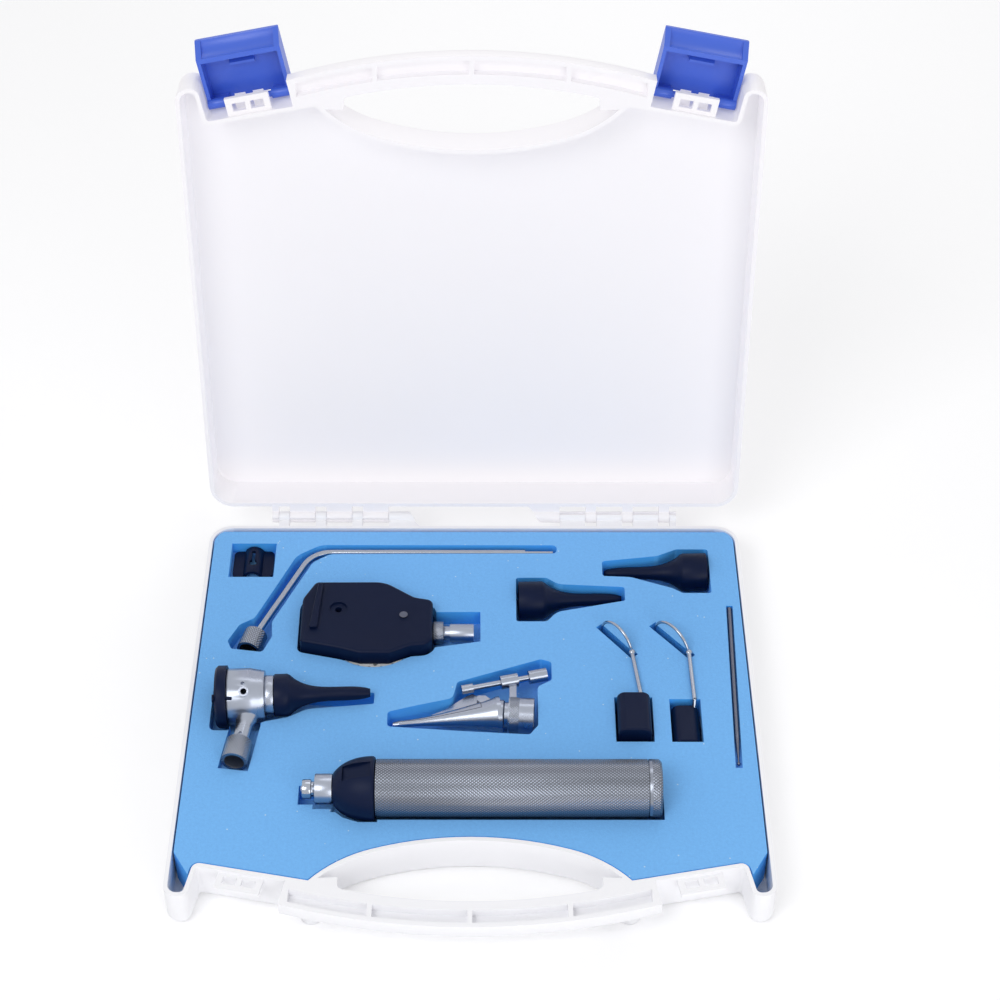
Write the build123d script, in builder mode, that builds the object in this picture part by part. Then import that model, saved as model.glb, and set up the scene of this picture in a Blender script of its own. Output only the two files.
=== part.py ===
"""Carry case for an ear, nose, throat and eye diagnostic set, standing open with its set in foam.

Millimetres. The origin is the middle of the base's underside, +X is the case's right, +Y is towards
its hinge and +Z is up. Both case halves are one moulding: the lid is the base turned over about Y.
"""

from build123d import *
from math import cos, hypot, radians, sin, sqrt
import os

os.makedirs("parts", exist_ok=True)

# ---------------------------------------------------------------- driving dimensions: case
CASE_W = 277.0
CASE_D = 238.0
PARTING_Z = 22.0  # half of the closed thickness
RIM_GAP = 0.3  # between the two rims when the case is shut
WALL = 2.0
FLOOR = 2.0
BACK_CORNER_R = 12.0
FRONT_CORNER_R = 6.5
POST_CORNER_R = 4.5
RECESS_CORNER_R = 1.5
BOTTOM_EDGE_R = 3.6
LID_OPEN = 98.3  # degrees from shut

RECESS_INSET = 34.5  # middle of a latch recess from the case side
RECESS_SETBACK = 12.5  # of its back wall behind the case front
RECESS_ANGLE = 11.0
RECESS_W = 41.6

GRIP_SETBACK = 31.2  # of the grip wall's middle behind the case front
GRIP_R = 150.0
GRIP_BEND = 27.5  # where the grip wall's curve tightens, inwards of the knee
KNEE = 31.5  # where it meets the recess wall, inwards of the recess's middle
PILLAR_R = 5.3

HANDLE_REACH = 16.8  # in front of the case front
HANDLE_R = 305.0
BAR_W = 14.1
BAR_T = 7.0
BAR_END_RUN = 13.3
OPENING_R = 262.0
OPENING_END = 12.5  # tip of the finger opening, inwards of the knee
OPENING_TIP_R = 3.0
CELL_INSET = 2.3
CELL_W = 6.8
CELL_DEPTH = 4.4
CELL_RIBS = (0.0, 45.0, 83.0)  # distances of the ribs from the middle
CELL_RIB_T = 2.2

# ---------------------------------------------------------------- driving dimensions: hinge
HINGE_SETBACK = 6.55  # of the axis behind the back wall
PIN_R = 1.6
RUNNING_GAP = 0.06
EAR_R = 2.9
HOOK_R = 3.0
HOOK_MOUTH = 2.4
ARM_DROP = 7.0
HINGE_START = 45.0
HOOK_W = 13.3
EAR_W = 5.4
END_HOOK_W = 3.4
SIDE_GAP = 0.3
HOOK_PAIRS = 3
WEDGE_START = 28.6
WEDGE_CUT = 8.0

# ---------------------------------------------------------------- driving dimensions: latches
LUG_W = 21.0
LUG_REACH = 8.6
LUG_TOP_DROP = 1.85  # below the rim
LUG_T = 2.2
LUG_HOLE = (6.5, 4.0)
LUG_HOLE_X = 4.4
LUG_HOLE_Y = 3.8
LATCH_W = 40.2
LATCH_T = 1.8
LATCH_DEPTH = 14.0  # outer face in front of the recess wall
LATCH_BACK = 3.1  # back rim in front of the recess wall
LATCH_TOP_Z = 34.6
LATCH_BOTTOM_Z = 4.2
LATCH_LIP_Z = 10.1
LATCH_FLOOR_Z = 12.3
LATCH_END_T = 2.0
LATCH_PIN_OUT = 3.6
LATCH_PIN_Z = 33.0
LATCH_PIN_R = 1.5
LATCH_BOSS_R = 2.4
LATCH_OPEN = 90.0  # degrees from shut
NOTCH_HALF = 10.8
CLIP_W = 5.0
CLIP_R = 2.9
CLIP_MOUTH = 2.2
HOOK_HALF = 6.0
HOOK_TIP = 7.7
HOOK_TOP_Z = 17.3
HOOK_H = 4.2

# ---------------------------------------------------------------- driving dimensions: foam
FOAM_TOP_DROP = 0.45  # below the rim
FOAM_GAP = 0.8
FOAM_BACK_GAP = 2.2  # more room along the hinge side
FOAM_CUT_INSET = (10.5, 12.0)  # of a point of the cut across each front corner from side and front
FOAM_CUT_SLOPE = 5 / 3
POCKET_GAP = 1.6
HANDLE_POCKET_GAP = 1.2
SEAT = 0.3  # between an instrument and the foam under it

# ---------------------------------------------------------------- driving dimensions: instruments
GRIP_AT = (0.0, -61.2, 26.0)  # battery handle, along +X
TUBE_R = 14.0
TUBE_WALL = 0.9
TUBE_START = -44.4
TUBE_END = 82.5
NECK_R = 15.3
NECK_TIP_R = 7.4
NECK_START = -64.3
THUMB_FLAT_W = 8.6
COLLAR_R = 7.2
COLLAR_START = -72.8
SPIGOT_R = 5.0
BAYONET_R = 4.6
BAYONET_START = -78.7
CONTACT_R = 1.5
CELL_R = 13.0
CELL_LENGTH = 50.0
CELLS_START = -33.4
SPRING_R = 8.0
SPRING_WIRE_R = 0.6
SPRING_TURNS = 4
CAP_END = 88.7

OTOSCOPE_AT = (-118.5, -3.8, 25.5)
OTOSCOPE_HEADING = 2.2
OTOSCOPE_R = 13.6
OTOSCOPE_FRONT_R = 12.2
LENS_FRAME_R = 15.2
LENS_FRAME_T = 5.5
LENS_R = 10.2
LENS_PIVOT_R = 12.7  # of the lens frame's pivot from the head's axis, half way up its front
LENS_PIN_R = 1.2
AIR_PORT_ALONG = 8.7
AIR_PORT_LEAN = 32.0  # degrees from straight up, towards the front
AIR_PORT_R = 2.5
AIR_BORE_R = 1.5
VENT_LEAN = 14.0
VENT_R = 0.9
STEM_AT = (-108.6, -15.2, 23.5)
STEM_HEADING = -97.7
STEM_R = 4.0
SOCKET_R = 6.35

SPECULUM_R = 9.9
SPECULUM_WALL = 0.9
SPECULUM_L = 52.8
SPECULUM_TIP_R = 1.65
SPECULUM_1_AT = (23.1, 70.1, 15.7)
SPECULUM_1_HEADING = 1.4
SPECULUM_2_AT = (120.4, 91.0, 15.7)
SPECULUM_2_HEADING = 181.4

HEAD_BOTTOM_Z = 8.5
HEAD_SPLIT_Z = 18.0
HEAD_TOP_Z = 28.5
WHEEL_AT = (-49.5, 43.5)
WHEEL_R = 22.6
WHEEL_T = 3.0
LENS_CIRCLE_R = 20.35
SIGHT_AT = (-67.7, 52.6)
CONNECTOR_AT = (-20.1, 45.0, 18.5)

NASAL_AT = (12.6, -7.2, 16.5)
NASAL_HEADING = -3.6
NASAL_BLADE_HEADING = 187.6
NASAL_BLADE_L = 51.5
NASAL_WALL = 0.8
NASAL_RING_R = 8.7
NASAL_RING_L = 8.0  # of the funnel's closed ring, before it parts into two blades
NASAL_PIVOT = (4.2, 1.3)
NASAL_PIVOT_R = 1.0
NASAL_EYE_R = 1.8
WING_BOTTOM_Z = 12.0
WING_TOP_Z = 17.1
TAB_T = 1.2
NASAL_SCREW_AT = (-5.3, 5.6, 20.0)
NASAL_SCREW_HEADING = 13.8

ARM_R = 1.9
ARM_TIP_R = 1.15
ARM_Z = 18.6
ARM_Y = 101.9
ARM_START = (-109.0, 44.2)  # in the socket's end wall
ARM_BEND_X = -84.0
ARM_BEND_R = 15.0
ARM_TIP_X = 26.7
ARM_TIP_L = 14.4
ARM_SOCKET_AT = (-109.2, 43.8, ARM_Z)
ARM_SOCKET_HEADING = -105.0

MIRROR_1_AT = (72.0, 37.2, 20.4)
MIRROR_1_R = 12.0
MIRROR_1_HEADING = -51.5
MIRROR_2_AT = (99.6, 37.4, 19.0)
MIRROR_2_R = 13.0
MIRROR_2_HEADING = -50.0
MIRROR_T = 1.5
MIRROR_BACK_T = 0.4
MIRROR_STEM_R = 1.1
MIRROR_BEAD_R = 1.7
MIRROR_STEM_Z = 22.6

CLIP_AT = (-114.7, 95.7, 15.0)
PLATE_T = 1.6
ROD_AT = (130.1, 60.4, 20.1)
ROD_HEADING = -91.8
ROD_R = 1.2
ROD_BEAD_R = 0.95

HALF_H = PARTING_Z - RIM_GAP / 2
RECESS_X = CASE_W / 2 - RECESS_INSET
KNEE_X = RECESS_X - KNEE
GRIP_BEND_X = KNEE_X - GRIP_BEND
OPENING_HALF = KNEE_X - OPENING_END
FOAM_CUT_X = CASE_W / 2 - FOAM_CUT_INSET[0]
FOAM_CUT_Y = -CASE_D / 2 + FOAM_CUT_INSET[1]
BACK_Y = CASE_D / 2
RECESS_Y = -BACK_Y + RECESS_SETBACK
GRIP_Y = -BACK_Y + GRIP_SETBACK
HANDLE_Y = -BACK_Y - HANDLE_REACH
HANDLE_CENTRE_Y = HANDLE_Y + HANDLE_R
HINGE_Y = BACK_Y + HINGE_SETBACK
HINGE_AXIS = Axis((0, HINGE_Y, PARTING_Z), (1, 0, 0))
TILT_COS = cos(radians(RECESS_ANGLE))
TILT_SIN = sin(radians(RECESS_ANGLE))
FOAM_TOP_Z = HALF_H - FOAM_TOP_DROP


def finish(piece, name):
    """Labels a finished piece and writes it to its own file."""
    piece.part.label = name
    export_step(piece.part, f"parts/{name}.step")


def recess_point(along, out):
    """Plan point of the right latch recess: along its wall, and out in front of it."""
    x = RECESS_X + along * TILT_COS + out * TILT_SIN
    y = RECESS_Y + along * TILT_SIN - out * TILT_COS
    return x, y


def recess_top(height):
    """Plane over the right recess: local X along its wall, local Y into the case."""
    return Plane(origin=(RECESS_X, RECESS_Y, height), x_dir=(TILT_COS, TILT_SIN, 0), z_dir=(0, 0, 1))


def recess_side():
    """Plane across the right recess: local X out of the wall, local Y up from the base's underside."""
    return Plane(
        origin=(RECESS_X, RECESS_Y, 0), x_dir=(TILT_SIN, -TILT_COS, 0), z_dir=(-TILT_COS, -TILT_SIN, 0)
    )


def grip_point(x):
    """Plan point of the grip wall's outer face on its main curve."""
    return x, GRIP_Y - GRIP_R + sqrt(GRIP_R**2 - x**2)


def bar_point(x, inset=0.0):
    """Plan point of the handle's outer edge, or of a curve inset behind it."""
    return x, HANDLE_CENTRE_Y - sqrt((HANDLE_R - inset) ** 2 - x**2)


def case_outline():
    """Plan of the case body's outer face."""
    side = CASE_W / 2
    post_run = (RECESS_Y + RECESS_W / 2 * TILT_SIN + BACK_Y) / TILT_COS
    knee = recess_point((KNEE_X - RECESS_X) / TILT_COS, 0)
    with BuildSketch() as outline:
        with BuildLine():
            FilletPolyline(
                (0, BACK_Y),
                (side, BACK_Y),
                (side, -BACK_Y),
                recess_point(RECESS_W / 2, post_run),
                recess_point(RECESS_W / 2, 0),
                knee,
                radius=[BACK_CORNER_R, FRONT_CORNER_R, POST_CORNER_R, RECESS_CORNER_R],
            )
            main = ThreePointArc(grip_point(0), grip_point(GRIP_BEND_X / 2), grip_point(GRIP_BEND_X))
            TangentArc(main @ 1, knee, tangent=main % 1)
            mirror(about=Plane.YZ)
        make_face()
    return outline.sketch


def handle_outline():
    """Plan of the handle's bar and its roots, reaching back into the case walls."""
    end = bar_point(recess_point(-RECESS_W / 2, BAR_END_RUN)[0])
    with BuildSketch() as outline:
        with BuildLine():
            ThreePointArc((0, HANDLE_Y), bar_point(end[0] / 2), end)
            Polyline(end, recess_point(-RECESS_W / 2, -WALL / 2), (0, RECESS_Y))
            mirror(about=Plane.YZ)
        make_face()
    return outline.sketch


def grip_opening():
    """Plan of the finger opening between the grip wall and the bar."""
    inner_y = HANDLE_Y + BAR_W

    def bar_inner(x):
        return x, inner_y + OPENING_R - sqrt(OPENING_R**2 - x**2)

    with BuildSketch() as opening:
        with BuildLine():
            ThreePointArc(bar_inner(0), bar_inner(OPENING_HALF / 2), bar_inner(OPENING_HALF))
            Polyline(bar_inner(OPENING_HALF), (OPENING_HALF, GRIP_Y), (0, GRIP_Y))
            mirror(about=Plane.YZ)
        make_face()
        add(case_outline(), mode=Mode.SUBTRACT)
        tips = opening.vertices().filter_by(lambda v: abs(v.X) > OPENING_HALF - 1)
        fillet(tips, OPENING_TIP_R)
    return opening.sketch


def hinge_arm(x_from, x_to, knuckle_r):
    """Arm from the back wall out to a knuckle around the hinge axis."""
    top = HALF_H
    with BuildPart() as arm:
        with BuildSketch(Plane.YZ.offset(x_from)):
            with BuildLine():
                Polyline(
                    (BACK_Y - WALL / 2, top - ARM_DROP),
                    (BACK_Y, top - ARM_DROP),
                    (HINGE_Y, PARTING_Z - knuckle_r),
                    (HINGE_Y, top),
                    (BACK_Y - WALL / 2, top),
                    close=True,
                )
            make_face()
            with Locations((HINGE_Y, PARTING_Z)):
                Circle(knuckle_r)
        extrude(amount=x_to - x_from)
    return arm.part


def case_half(latch_clips):
    """One case half. The pin side of its hinge is at -X and the hook side at +X."""
    cut_h = 2 * PARTING_Z
    with BuildPart() as half:
        with BuildSketch():
            add(case_outline())
        extrude(amount=HALF_H)
        fillet(half.edges().group_by(Axis.Z)[0], BOTTOM_EDGE_R)
        with BuildSketch(Plane.XY.offset(HALF_H - BAR_T)):
            add(handle_outline())
        extrude(amount=BAR_T)
        with BuildSketch():
            with Locations((KNEE_X, -BACK_Y + PILLAR_R), (-KNEE_X, -BACK_Y + PILLAR_R)):
                Circle(PILLAR_R)
        extrude(amount=HALF_H)
        with BuildSketch(Plane.XY.offset(FLOOR)):
            add(case_outline())
            offset(amount=-WALL, kind=Kind.INTERSECTION)
        extrude(amount=cut_h, mode=Mode.SUBTRACT)
        with BuildSketch(Plane.XY.offset(HALF_H - BAR_T)):
            add(grip_opening())
        extrude(amount=cut_h, mode=Mode.SUBTRACT)
        # Cells along the bar, closed at the bottom and parted by ribs.
        with BuildSketch(Plane.XY.offset(HALF_H - CELL_DEPTH)) as cells:
            for near, far in zip(CELL_RIBS, CELL_RIBS[1:]):
                x_in, x_out = near + CELL_RIB_T / 2, far - CELL_RIB_T / 2
                x_mid = (x_in + x_out) / 2
                inner = CELL_INSET + CELL_W
                with BuildLine():
                    front = ThreePointArc(*(bar_point(x, CELL_INSET) for x in (x_in, x_mid, x_out)))
                    rear = ThreePointArc(*(bar_point(x, inner) for x in (x_out, x_mid, x_in)))
                    Line(front @ 1, rear @ 0)
                    Line(rear @ 1, front @ 0)
                make_face()
            mirror(about=Plane.YZ)
        extrude(amount=cut_h, mode=Mode.SUBTRACT)
        # Latch lug in each recess, with its two windows.
        with BuildSketch(recess_top(HALF_H - LUG_TOP_DROP)):
            with Locations((0, -(LUG_REACH - WALL / 2) / 2)):
                Rectangle(LUG_W, LUG_REACH + WALL / 2)
            with Locations((LUG_HOLE_X, -LUG_HOLE_Y), (-LUG_HOLE_X, -LUG_HOLE_Y)):
                Rectangle(*LUG_HOLE, mode=Mode.SUBTRACT)
        lug = extrude(amount=-LUG_T)
        mirror(lug, about=Plane.YZ)
        # Pin side of the hinge: wedge, ears and the pin through them.
        pin_end = HINGE_START
        add(hinge_arm(-HINGE_START, -WEDGE_START, EAR_R))
        for pair in range(HOOK_PAIRS):
            hook_from = pin_end + SIDE_GAP
            ear_from = hook_from + HOOK_W + SIDE_GAP
            pin_end = ear_from + EAR_W
            add(hinge_arm(-pin_end, -ear_from, EAR_R))
            add(hinge_arm(hook_from, hook_from + HOOK_W, HOOK_R))
        last_hook = pin_end + SIDE_GAP
        add(hinge_arm(last_hook, last_hook + END_HOOK_W, HOOK_R))
        with BuildSketch(Plane.YZ.offset(HINGE_START - 1)):
            with Locations((HINGE_Y, PARTING_Z)):
                Circle(PIN_R + RUNNING_GAP)
            with Locations((HINGE_Y, PARTING_Z + HOOK_R)):
                Rectangle(HOOK_MOUTH, 2 * HOOK_R)
        extrude(amount=last_hook + END_HOOK_W + 1 - HINGE_START, mode=Mode.SUBTRACT)
        with BuildSketch(Plane.YZ.offset(-last_hook - END_HOOK_W)):
            with Locations((HINGE_Y, PARTING_Z)):
                Circle(PIN_R)
        extrude(amount=last_hook + END_HOOK_W - WEDGE_START - EAR_W)
        with BuildSketch():
            wedge_back = HINGE_Y + EAR_R + 1
            with BuildLine():
                Polyline(
                    (-WEDGE_START, BACK_Y),
                    (-WEDGE_START - WEDGE_CUT, wedge_back),
                    (-WEDGE_START + 1, wedge_back),
                    (-WEDGE_START + 1, BACK_Y),
                    close=True,
                )
            make_face()
        extrude(amount=cut_h, mode=Mode.SUBTRACT)
        if latch_clips:
            clip_z = 2 * PARTING_Z - LATCH_PIN_Z
            with BuildSketch(recess_side()):
                with Locations((LATCH_PIN_OUT, clip_z)):
                    Circle(CLIP_R)
                with Locations((LATCH_PIN_OUT / 2 - WALL / 4, clip_z)):
                    Rectangle(LATCH_PIN_OUT + WALL / 2, 2 * CLIP_R)
                with Locations((LATCH_PIN_OUT, clip_z)):
                    Circle(LATCH_PIN_R + RUNNING_GAP, mode=Mode.SUBTRACT)
                with Locations((LATCH_PIN_OUT + CLIP_R, clip_z)):
                    Rectangle(2 * CLIP_R, CLIP_MOUTH, mode=Mode.SUBTRACT)
            clips = extrude(amount=LUG_HOLE_X + CLIP_W / 2, both=True)
            mirror(clips, about=Plane.YZ)
            with BuildSketch(recess_side()):
                with Locations((CLIP_R + 2.2, clip_z)):
                    Rectangle(2 * CLIP_R + 4, 3 * CLIP_R)
            between = extrude(amount=LUG_HOLE_X - CLIP_W / 2, both=True, mode=Mode.SUBTRACT)
            mirror(between, about=Plane.YZ, mode=Mode.SUBTRACT)
    return half


def opened(part):
    """Swings a piece of the shut case's lid to where it stands open."""
    return part.rotate(HINGE_AXIS, -LID_OPEN)


def snap_latch():
    """Right latch where it stands with the case shut."""
    half_w = LATCH_W / 2
    side = recess_side()
    plate_in = LATCH_DEPTH - LATCH_T
    with BuildPart() as latch:
        with BuildSketch(side):
            with BuildLine():
                Polyline(
                    (LATCH_BACK, LATCH_TOP_Z),
                    (LATCH_DEPTH, LATCH_TOP_Z),
                    (LATCH_DEPTH, LATCH_BOTTOM_Z),
                    (plate_in, LATCH_BOTTOM_Z),
                    (LATCH_BACK, LATCH_LIP_Z),
                    close=True,
                )
            make_face()
        extrude(amount=half_w, both=True)
        corners = latch.edges().filter_by(Axis.Z).sort_by(Axis.Y)[:2]
        fillet(corners, LATCH_T / 2)
        with BuildSketch(side):
            with Locations((LATCH_PIN_OUT, LATCH_PIN_Z)):
                Circle(LATCH_BOSS_R)
        extrude(amount=half_w, both=True)
        with BuildSketch(side):
            with BuildLine():
                Polyline(
                    (0, LATCH_FLOOR_Z),
                    (plate_in, LATCH_FLOOR_Z),
                    (plate_in, LATCH_TOP_Z - LATCH_END_T),
                    (0, LATCH_TOP_Z - LATCH_END_T),
                    close=True,
                )
            make_face()
            with Locations((LATCH_PIN_OUT, LATCH_PIN_Z)):
                Circle(LATCH_BOSS_R, mode=Mode.SUBTRACT)
        extrude(amount=half_w - LATCH_T, both=True, mode=Mode.SUBTRACT)
        # Notch that clears the lid's lug and clips, with the pin across it.
        with BuildSketch(side):
            with Locations((plate_in / 2, LATCH_TOP_Z)):
                Rectangle(plate_in, 4 * LATCH_BOSS_R)
        extrude(amount=NOTCH_HALF, both=True, mode=Mode.SUBTRACT)
        with BuildSketch(side):
            with Locations((LATCH_PIN_OUT, LATCH_PIN_Z)):
                Circle(LATCH_PIN_R)
        extrude(amount=NOTCH_HALF + 1, both=True)
        # Finger scoop under the free end, between its end gussets.
        scoop_end = (plate_in, LATCH_BOTTOM_Z)
        with BuildSketch(side):
            with BuildLine():
                scoop = ThreePointArc(
                    (LATCH_BACK, LATCH_LIP_Z),
                    (LATCH_DEPTH * 0.62, LATCH_LIP_Z - 1.2),
                    scoop_end,
                )
                Polyline(scoop @ 1, (LATCH_BACK, LATCH_BOTTOM_Z - 1), (LATCH_BACK - 1, LATCH_LIP_Z), scoop @ 0)
            make_face()
        extrude(amount=half_w - 1.5 * LATCH_T, both=True, mode=Mode.SUBTRACT)
        # Hook that snaps under the base's lug.
        with BuildSketch(side):
            with BuildLine():
                Polyline(
                    (plate_in + LATCH_T / 2, HOOK_TOP_Z),
                    (HOOK_TIP, HOOK_TOP_Z),
                    (HOOK_TIP, HOOK_TOP_Z - 1.2),
                    (plate_in, HOOK_TOP_Z - HOOK_H),
                    (plate_in + LATCH_T / 2, HOOK_TOP_Z - HOOK_H),
                    close=True,
                )
            make_face()
        extrude(amount=HOOK_HALF, both=True)
    return latch


# ================================================================ case halves and latches
base_shell = case_half(latch_clips=False)
finish(base_shell, "base_shell")

lid_shell = case_half(latch_clips=True)
turned_over = lid_shell.part.rotate(Axis((0, 0, PARTING_Z), (0, 1, 0)), 180)
lid_shell.part = opened(turned_over)
finish(lid_shell, "lid_shell")

latch_right = snap_latch()
pin_point = recess_point(0, LATCH_PIN_OUT)
latch_axis = Axis((*pin_point, LATCH_PIN_Z), (-TILT_COS, -TILT_SIN, 0))
swung_out = latch_right.part.rotate(latch_axis, LATCH_OPEN)
latch_right.part = opened(swung_out)
finish(latch_right, "latch_right")

latch_left = snap_latch()
latch_left.part = opened(swung_out.mirror(Plane.YZ))
finish(latch_left, "latch_left")


# ================================================================ shapes shared by the instruments
def axial(origin, heading):
    """Plane of a turned piece: local X along its heading in plan, local Y up."""
    turn = radians(heading)
    return Plane(origin=origin, x_dir=(cos(turn), sin(turn), 0), z_dir=(sin(turn), -cos(turn), 0))


def spin(plane):
    """Axis that a turned piece is revolved about."""
    return Axis(plane.origin, plane.x_dir)


def facing_out(plane, along, lean, distance):
    """Plane at a distance from a turned piece's axis, facing out at an angle from straight up."""
    outward = plane.y_dir * cos(radians(lean)) + plane.z_dir * sin(radians(lean))
    return Plane(origin=plane.origin + plane.x_dir * along + outward * distance, z_dir=outward)


def turned(plane, *points):
    """Half profile of a turned piece, from (distance along, radius) points."""
    with BuildSketch(plane) as profile:
        with BuildLine():
            Polyline(*points, close=True)
        make_face()
    return profile.sketch


def outline_at(height, *points, radius=0):
    """Plan shape at a height, from its corners and the radius or radii that round them."""
    with BuildSketch(Plane.XY.offset(height)) as shape:
        with BuildLine():
            if radius:
                FilletPolyline(*points, radius=radius, close=True)
            else:
                Polyline(*points, close=True)
        make_face()
    return shape.sketch


def box_plan(height, x_from, x_to, y_from, y_to):
    """Rectangular plan shape at a height."""
    return outline_at(height, (x_from, y_from), (x_to, y_from), (x_to, y_to), (x_from, y_to))


def slot_plan(centre, heading, length, width, height):
    """Turned rectangle in plan at a height."""
    with BuildSketch(Plane.XY.offset(height)) as shape:
        with Locations(Location((centre[0], centre[1], 0), (0, 0, heading))):
            Rectangle(length, width)
    return shape.sketch


def head_outline(height):
    """Plan of the ophthalmoscope head."""
    with BuildSketch(Plane.XY.offset(height)) as shape:
        with BuildLine():
            FilletPolyline(
                (-86.0, 30.8),
                (-86.2, 60.0),
                (-80.2, 71.7),
                (-45.0, 71.9),
                (-29.6, 61.0),
                (-20.3, 59.2),
                (-20.3, 29.0),
                (-31.0, 28.0),
                (-41.5, 22.9),
                (-56.0, 22.9),
                (-66.3, 26.2),
                radius=[2, 9, 3, 16, 10, 3.5, 6, 3, 4, 4, 6],
                close=True,
            )
        make_face()
    return shape.sketch


def speculum_wall(plane, start, rim_r, skirt, length, tip_r):
    """Half profile of an ear speculum from its wide open end: skirt, trumpet and fine tip."""
    throat = start + skirt + 0.19 * (length - skirt)
    slender = start + skirt + 0.39 * (length - skirt)
    end = start + length
    bore = rim_r - SPECULUM_WALL
    with BuildSketch(plane) as profile:
        with BuildLine():
            outer = Spline(
                (start + skirt + 1.5, 0.93 * rim_r), (throat, 0.54 * rim_r), (slender, 0.36 * rim_r), (end, tip_r)
            )
            tip = Line(outer @ 1, (end, tip_r - 0.65))
            inner = Spline(
                tip @ 1,
                (slender, 0.36 * rim_r - 0.8),
                (throat, 0.54 * rim_r - SPECULUM_WALL),
                (start + skirt, bore),
            )
            Polyline(inner @ 1, (start, bore), (start, rim_r), (start + skirt, rim_r), outer @ 0)
        make_face()
    return profile.sketch


# ================================================================ battery handle
grip = axial(GRIP_AT, 0)

with BuildPart() as handle_tube:
    bore = TUBE_R - TUBE_WALL
    revolve(
        turned(
            grip,
            (TUBE_START, CONTACT_R),
            (TUBE_START, TUBE_R),
            (TUBE_END, TUBE_R),
            (TUBE_END, bore),
            (TUBE_START + 1.5, bore),
            (TUBE_START + 1.5, CONTACT_R),
        ),
        axis=spin(grip),
    )
finish(handle_tube, "handle_tube")

with BuildPart() as handle_neck:
    flare = NECK_R - NECK_TIP_R
    run = TUBE_START - NECK_START
    bore = SPIGOT_R + RUNNING_GAP
    with BuildSketch(grip):
        with BuildLine():
            nose = Spline(
                (NECK_START, NECK_TIP_R),
                (NECK_START + 0.14 * run, NECK_TIP_R + 0.38 * flare),
                (NECK_START + 0.4 * run, NECK_TIP_R + 0.76 * flare),
                (NECK_START + 0.68 * run, NECK_TIP_R + 0.95 * flare),
                (TUBE_START - 1.2, NECK_R),
            )
            Polyline(
                nose @ 1,
                (TUBE_START - SIDE_GAP, NECK_R - 0.7),
                (TUBE_START - SIDE_GAP, bore),
                (NECK_START, bore),
                nose @ 0,
            )
        make_face()
    revolve(axis=spin(grip))
    # Thumb flat let into the top of the flare.
    flat_start, flat_end = NECK_START + 4.6, TUBE_START - 2.2
    with BuildSketch(grip):
        with BuildLine():
            Polyline(
                (flat_start, NECK_TIP_R + 0.36 * flare),
                (flat_end, NECK_R - 1.0),
                (flat_end, NECK_R + 2),
                (flat_start, NECK_R + 2),
                close=True,
            )
        make_face()
    extrude(amount=THUMB_FLAT_W / 2, both=True, mode=Mode.SUBTRACT)
finish(handle_neck, "handle_neck")

with BuildPart() as handle_collar:
    revolve(
        turned(
            grip,
            (COLLAR_START, CONTACT_R),
            (COLLAR_START, COLLAR_R),
            (NECK_START - SIDE_GAP, COLLAR_R),
            (NECK_START - SIDE_GAP, SPIGOT_R),
            (TUBE_START, SPIGOT_R),
            (TUBE_START, CONTACT_R),
        ),
        axis=spin(grip),
    )
finish(handle_collar, "handle_collar")

with BuildPart() as handle_bayonet:
    revolve(
        turned(
            grip,
            (BAYONET_START, CONTACT_R),
            (BAYONET_START, BAYONET_R),
            (BAYONET_START + 4.2, BAYONET_R),
            (BAYONET_START + 4.2, BAYONET_R - 1),
            (COLLAR_START, BAYONET_R - 1),
            (COLLAR_START, CONTACT_R),
        ),
        axis=spin(grip),
    )
finish(handle_bayonet, "handle_bayonet")

with BuildPart() as contact_pin:
    with BuildSketch(Plane.YZ.offset(BAYONET_START - 0.6)):
        with Locations((GRIP_AT[1], GRIP_AT[2])):
            Circle(CONTACT_R)
    extrude(amount=CELLS_START - BAYONET_START + 0.6)
finish(contact_pin, "contact_pin")

for cell, name in enumerate(("battery_front", "battery_rear")):
    start = CELLS_START + cell * CELL_LENGTH
    with BuildPart() as battery:
        revolve(
            turned(
                grip,
                (start, 0),
                (start, 3.4),
                (start + 1.6, 3.4),
                (start + 1.6, CELL_R),
                (start + CELL_LENGTH, CELL_R),
                (start + CELL_LENGTH, 0),
            ),
            axis=spin(grip),
        )
    finish(battery, name)

with BuildPart() as battery_spring:
    spring_start = CELLS_START + 2 * CELL_LENGTH + 0.7
    spring_length = TUBE_END - 0.6 - spring_start
    with BuildLine() as coil:
        Helix(
            pitch=spring_length / SPRING_TURNS,
            height=spring_length,
            radius=SPRING_R,
            center=(spring_start, GRIP_AT[1], GRIP_AT[2]),
            direction=(1, 0, 0),
        )
    with BuildSketch(Plane(origin=coil.line @ 0, z_dir=coil.line % 0)):
        RegularPolygon(SPRING_WIRE_R, 6)
    sweep()
finish(battery_spring, "battery_spring")

with BuildPart() as end_cap:
    bore = TUBE_R - TUBE_WALL
    revolve(
        turned(
            grip,
            (TUBE_END - 4, bore - 1.6),
            (TUBE_END - 4, bore - RUNNING_GAP),
            (TUBE_END + SIDE_GAP, bore - RUNNING_GAP),
            (TUBE_END + SIDE_GAP, TUBE_R),
            (CAP_END - 1.2, TUBE_R),
            (CAP_END, TUBE_R - 1.2),
            (CAP_END, 0),
            (TUBE_END, 0),
            (TUBE_END, bore - 1.6),
        ),
        axis=spin(grip),
    )
finish(end_cap, "end_cap")

# ================================================================ otoscope
otoscope = axial(OTOSCOPE_AT, OTOSCOPE_HEADING)
stem = axial(STEM_AT, STEM_HEADING)
pivot_side = -LENS_PIVOT_R / sqrt(2)
lens_pivot = otoscope.location * Pos(0, LENS_PIVOT_R / sqrt(2), -pivot_side)
pivot_plane = axial(lens_pivot.position, OTOSCOPE_HEADING)

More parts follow.
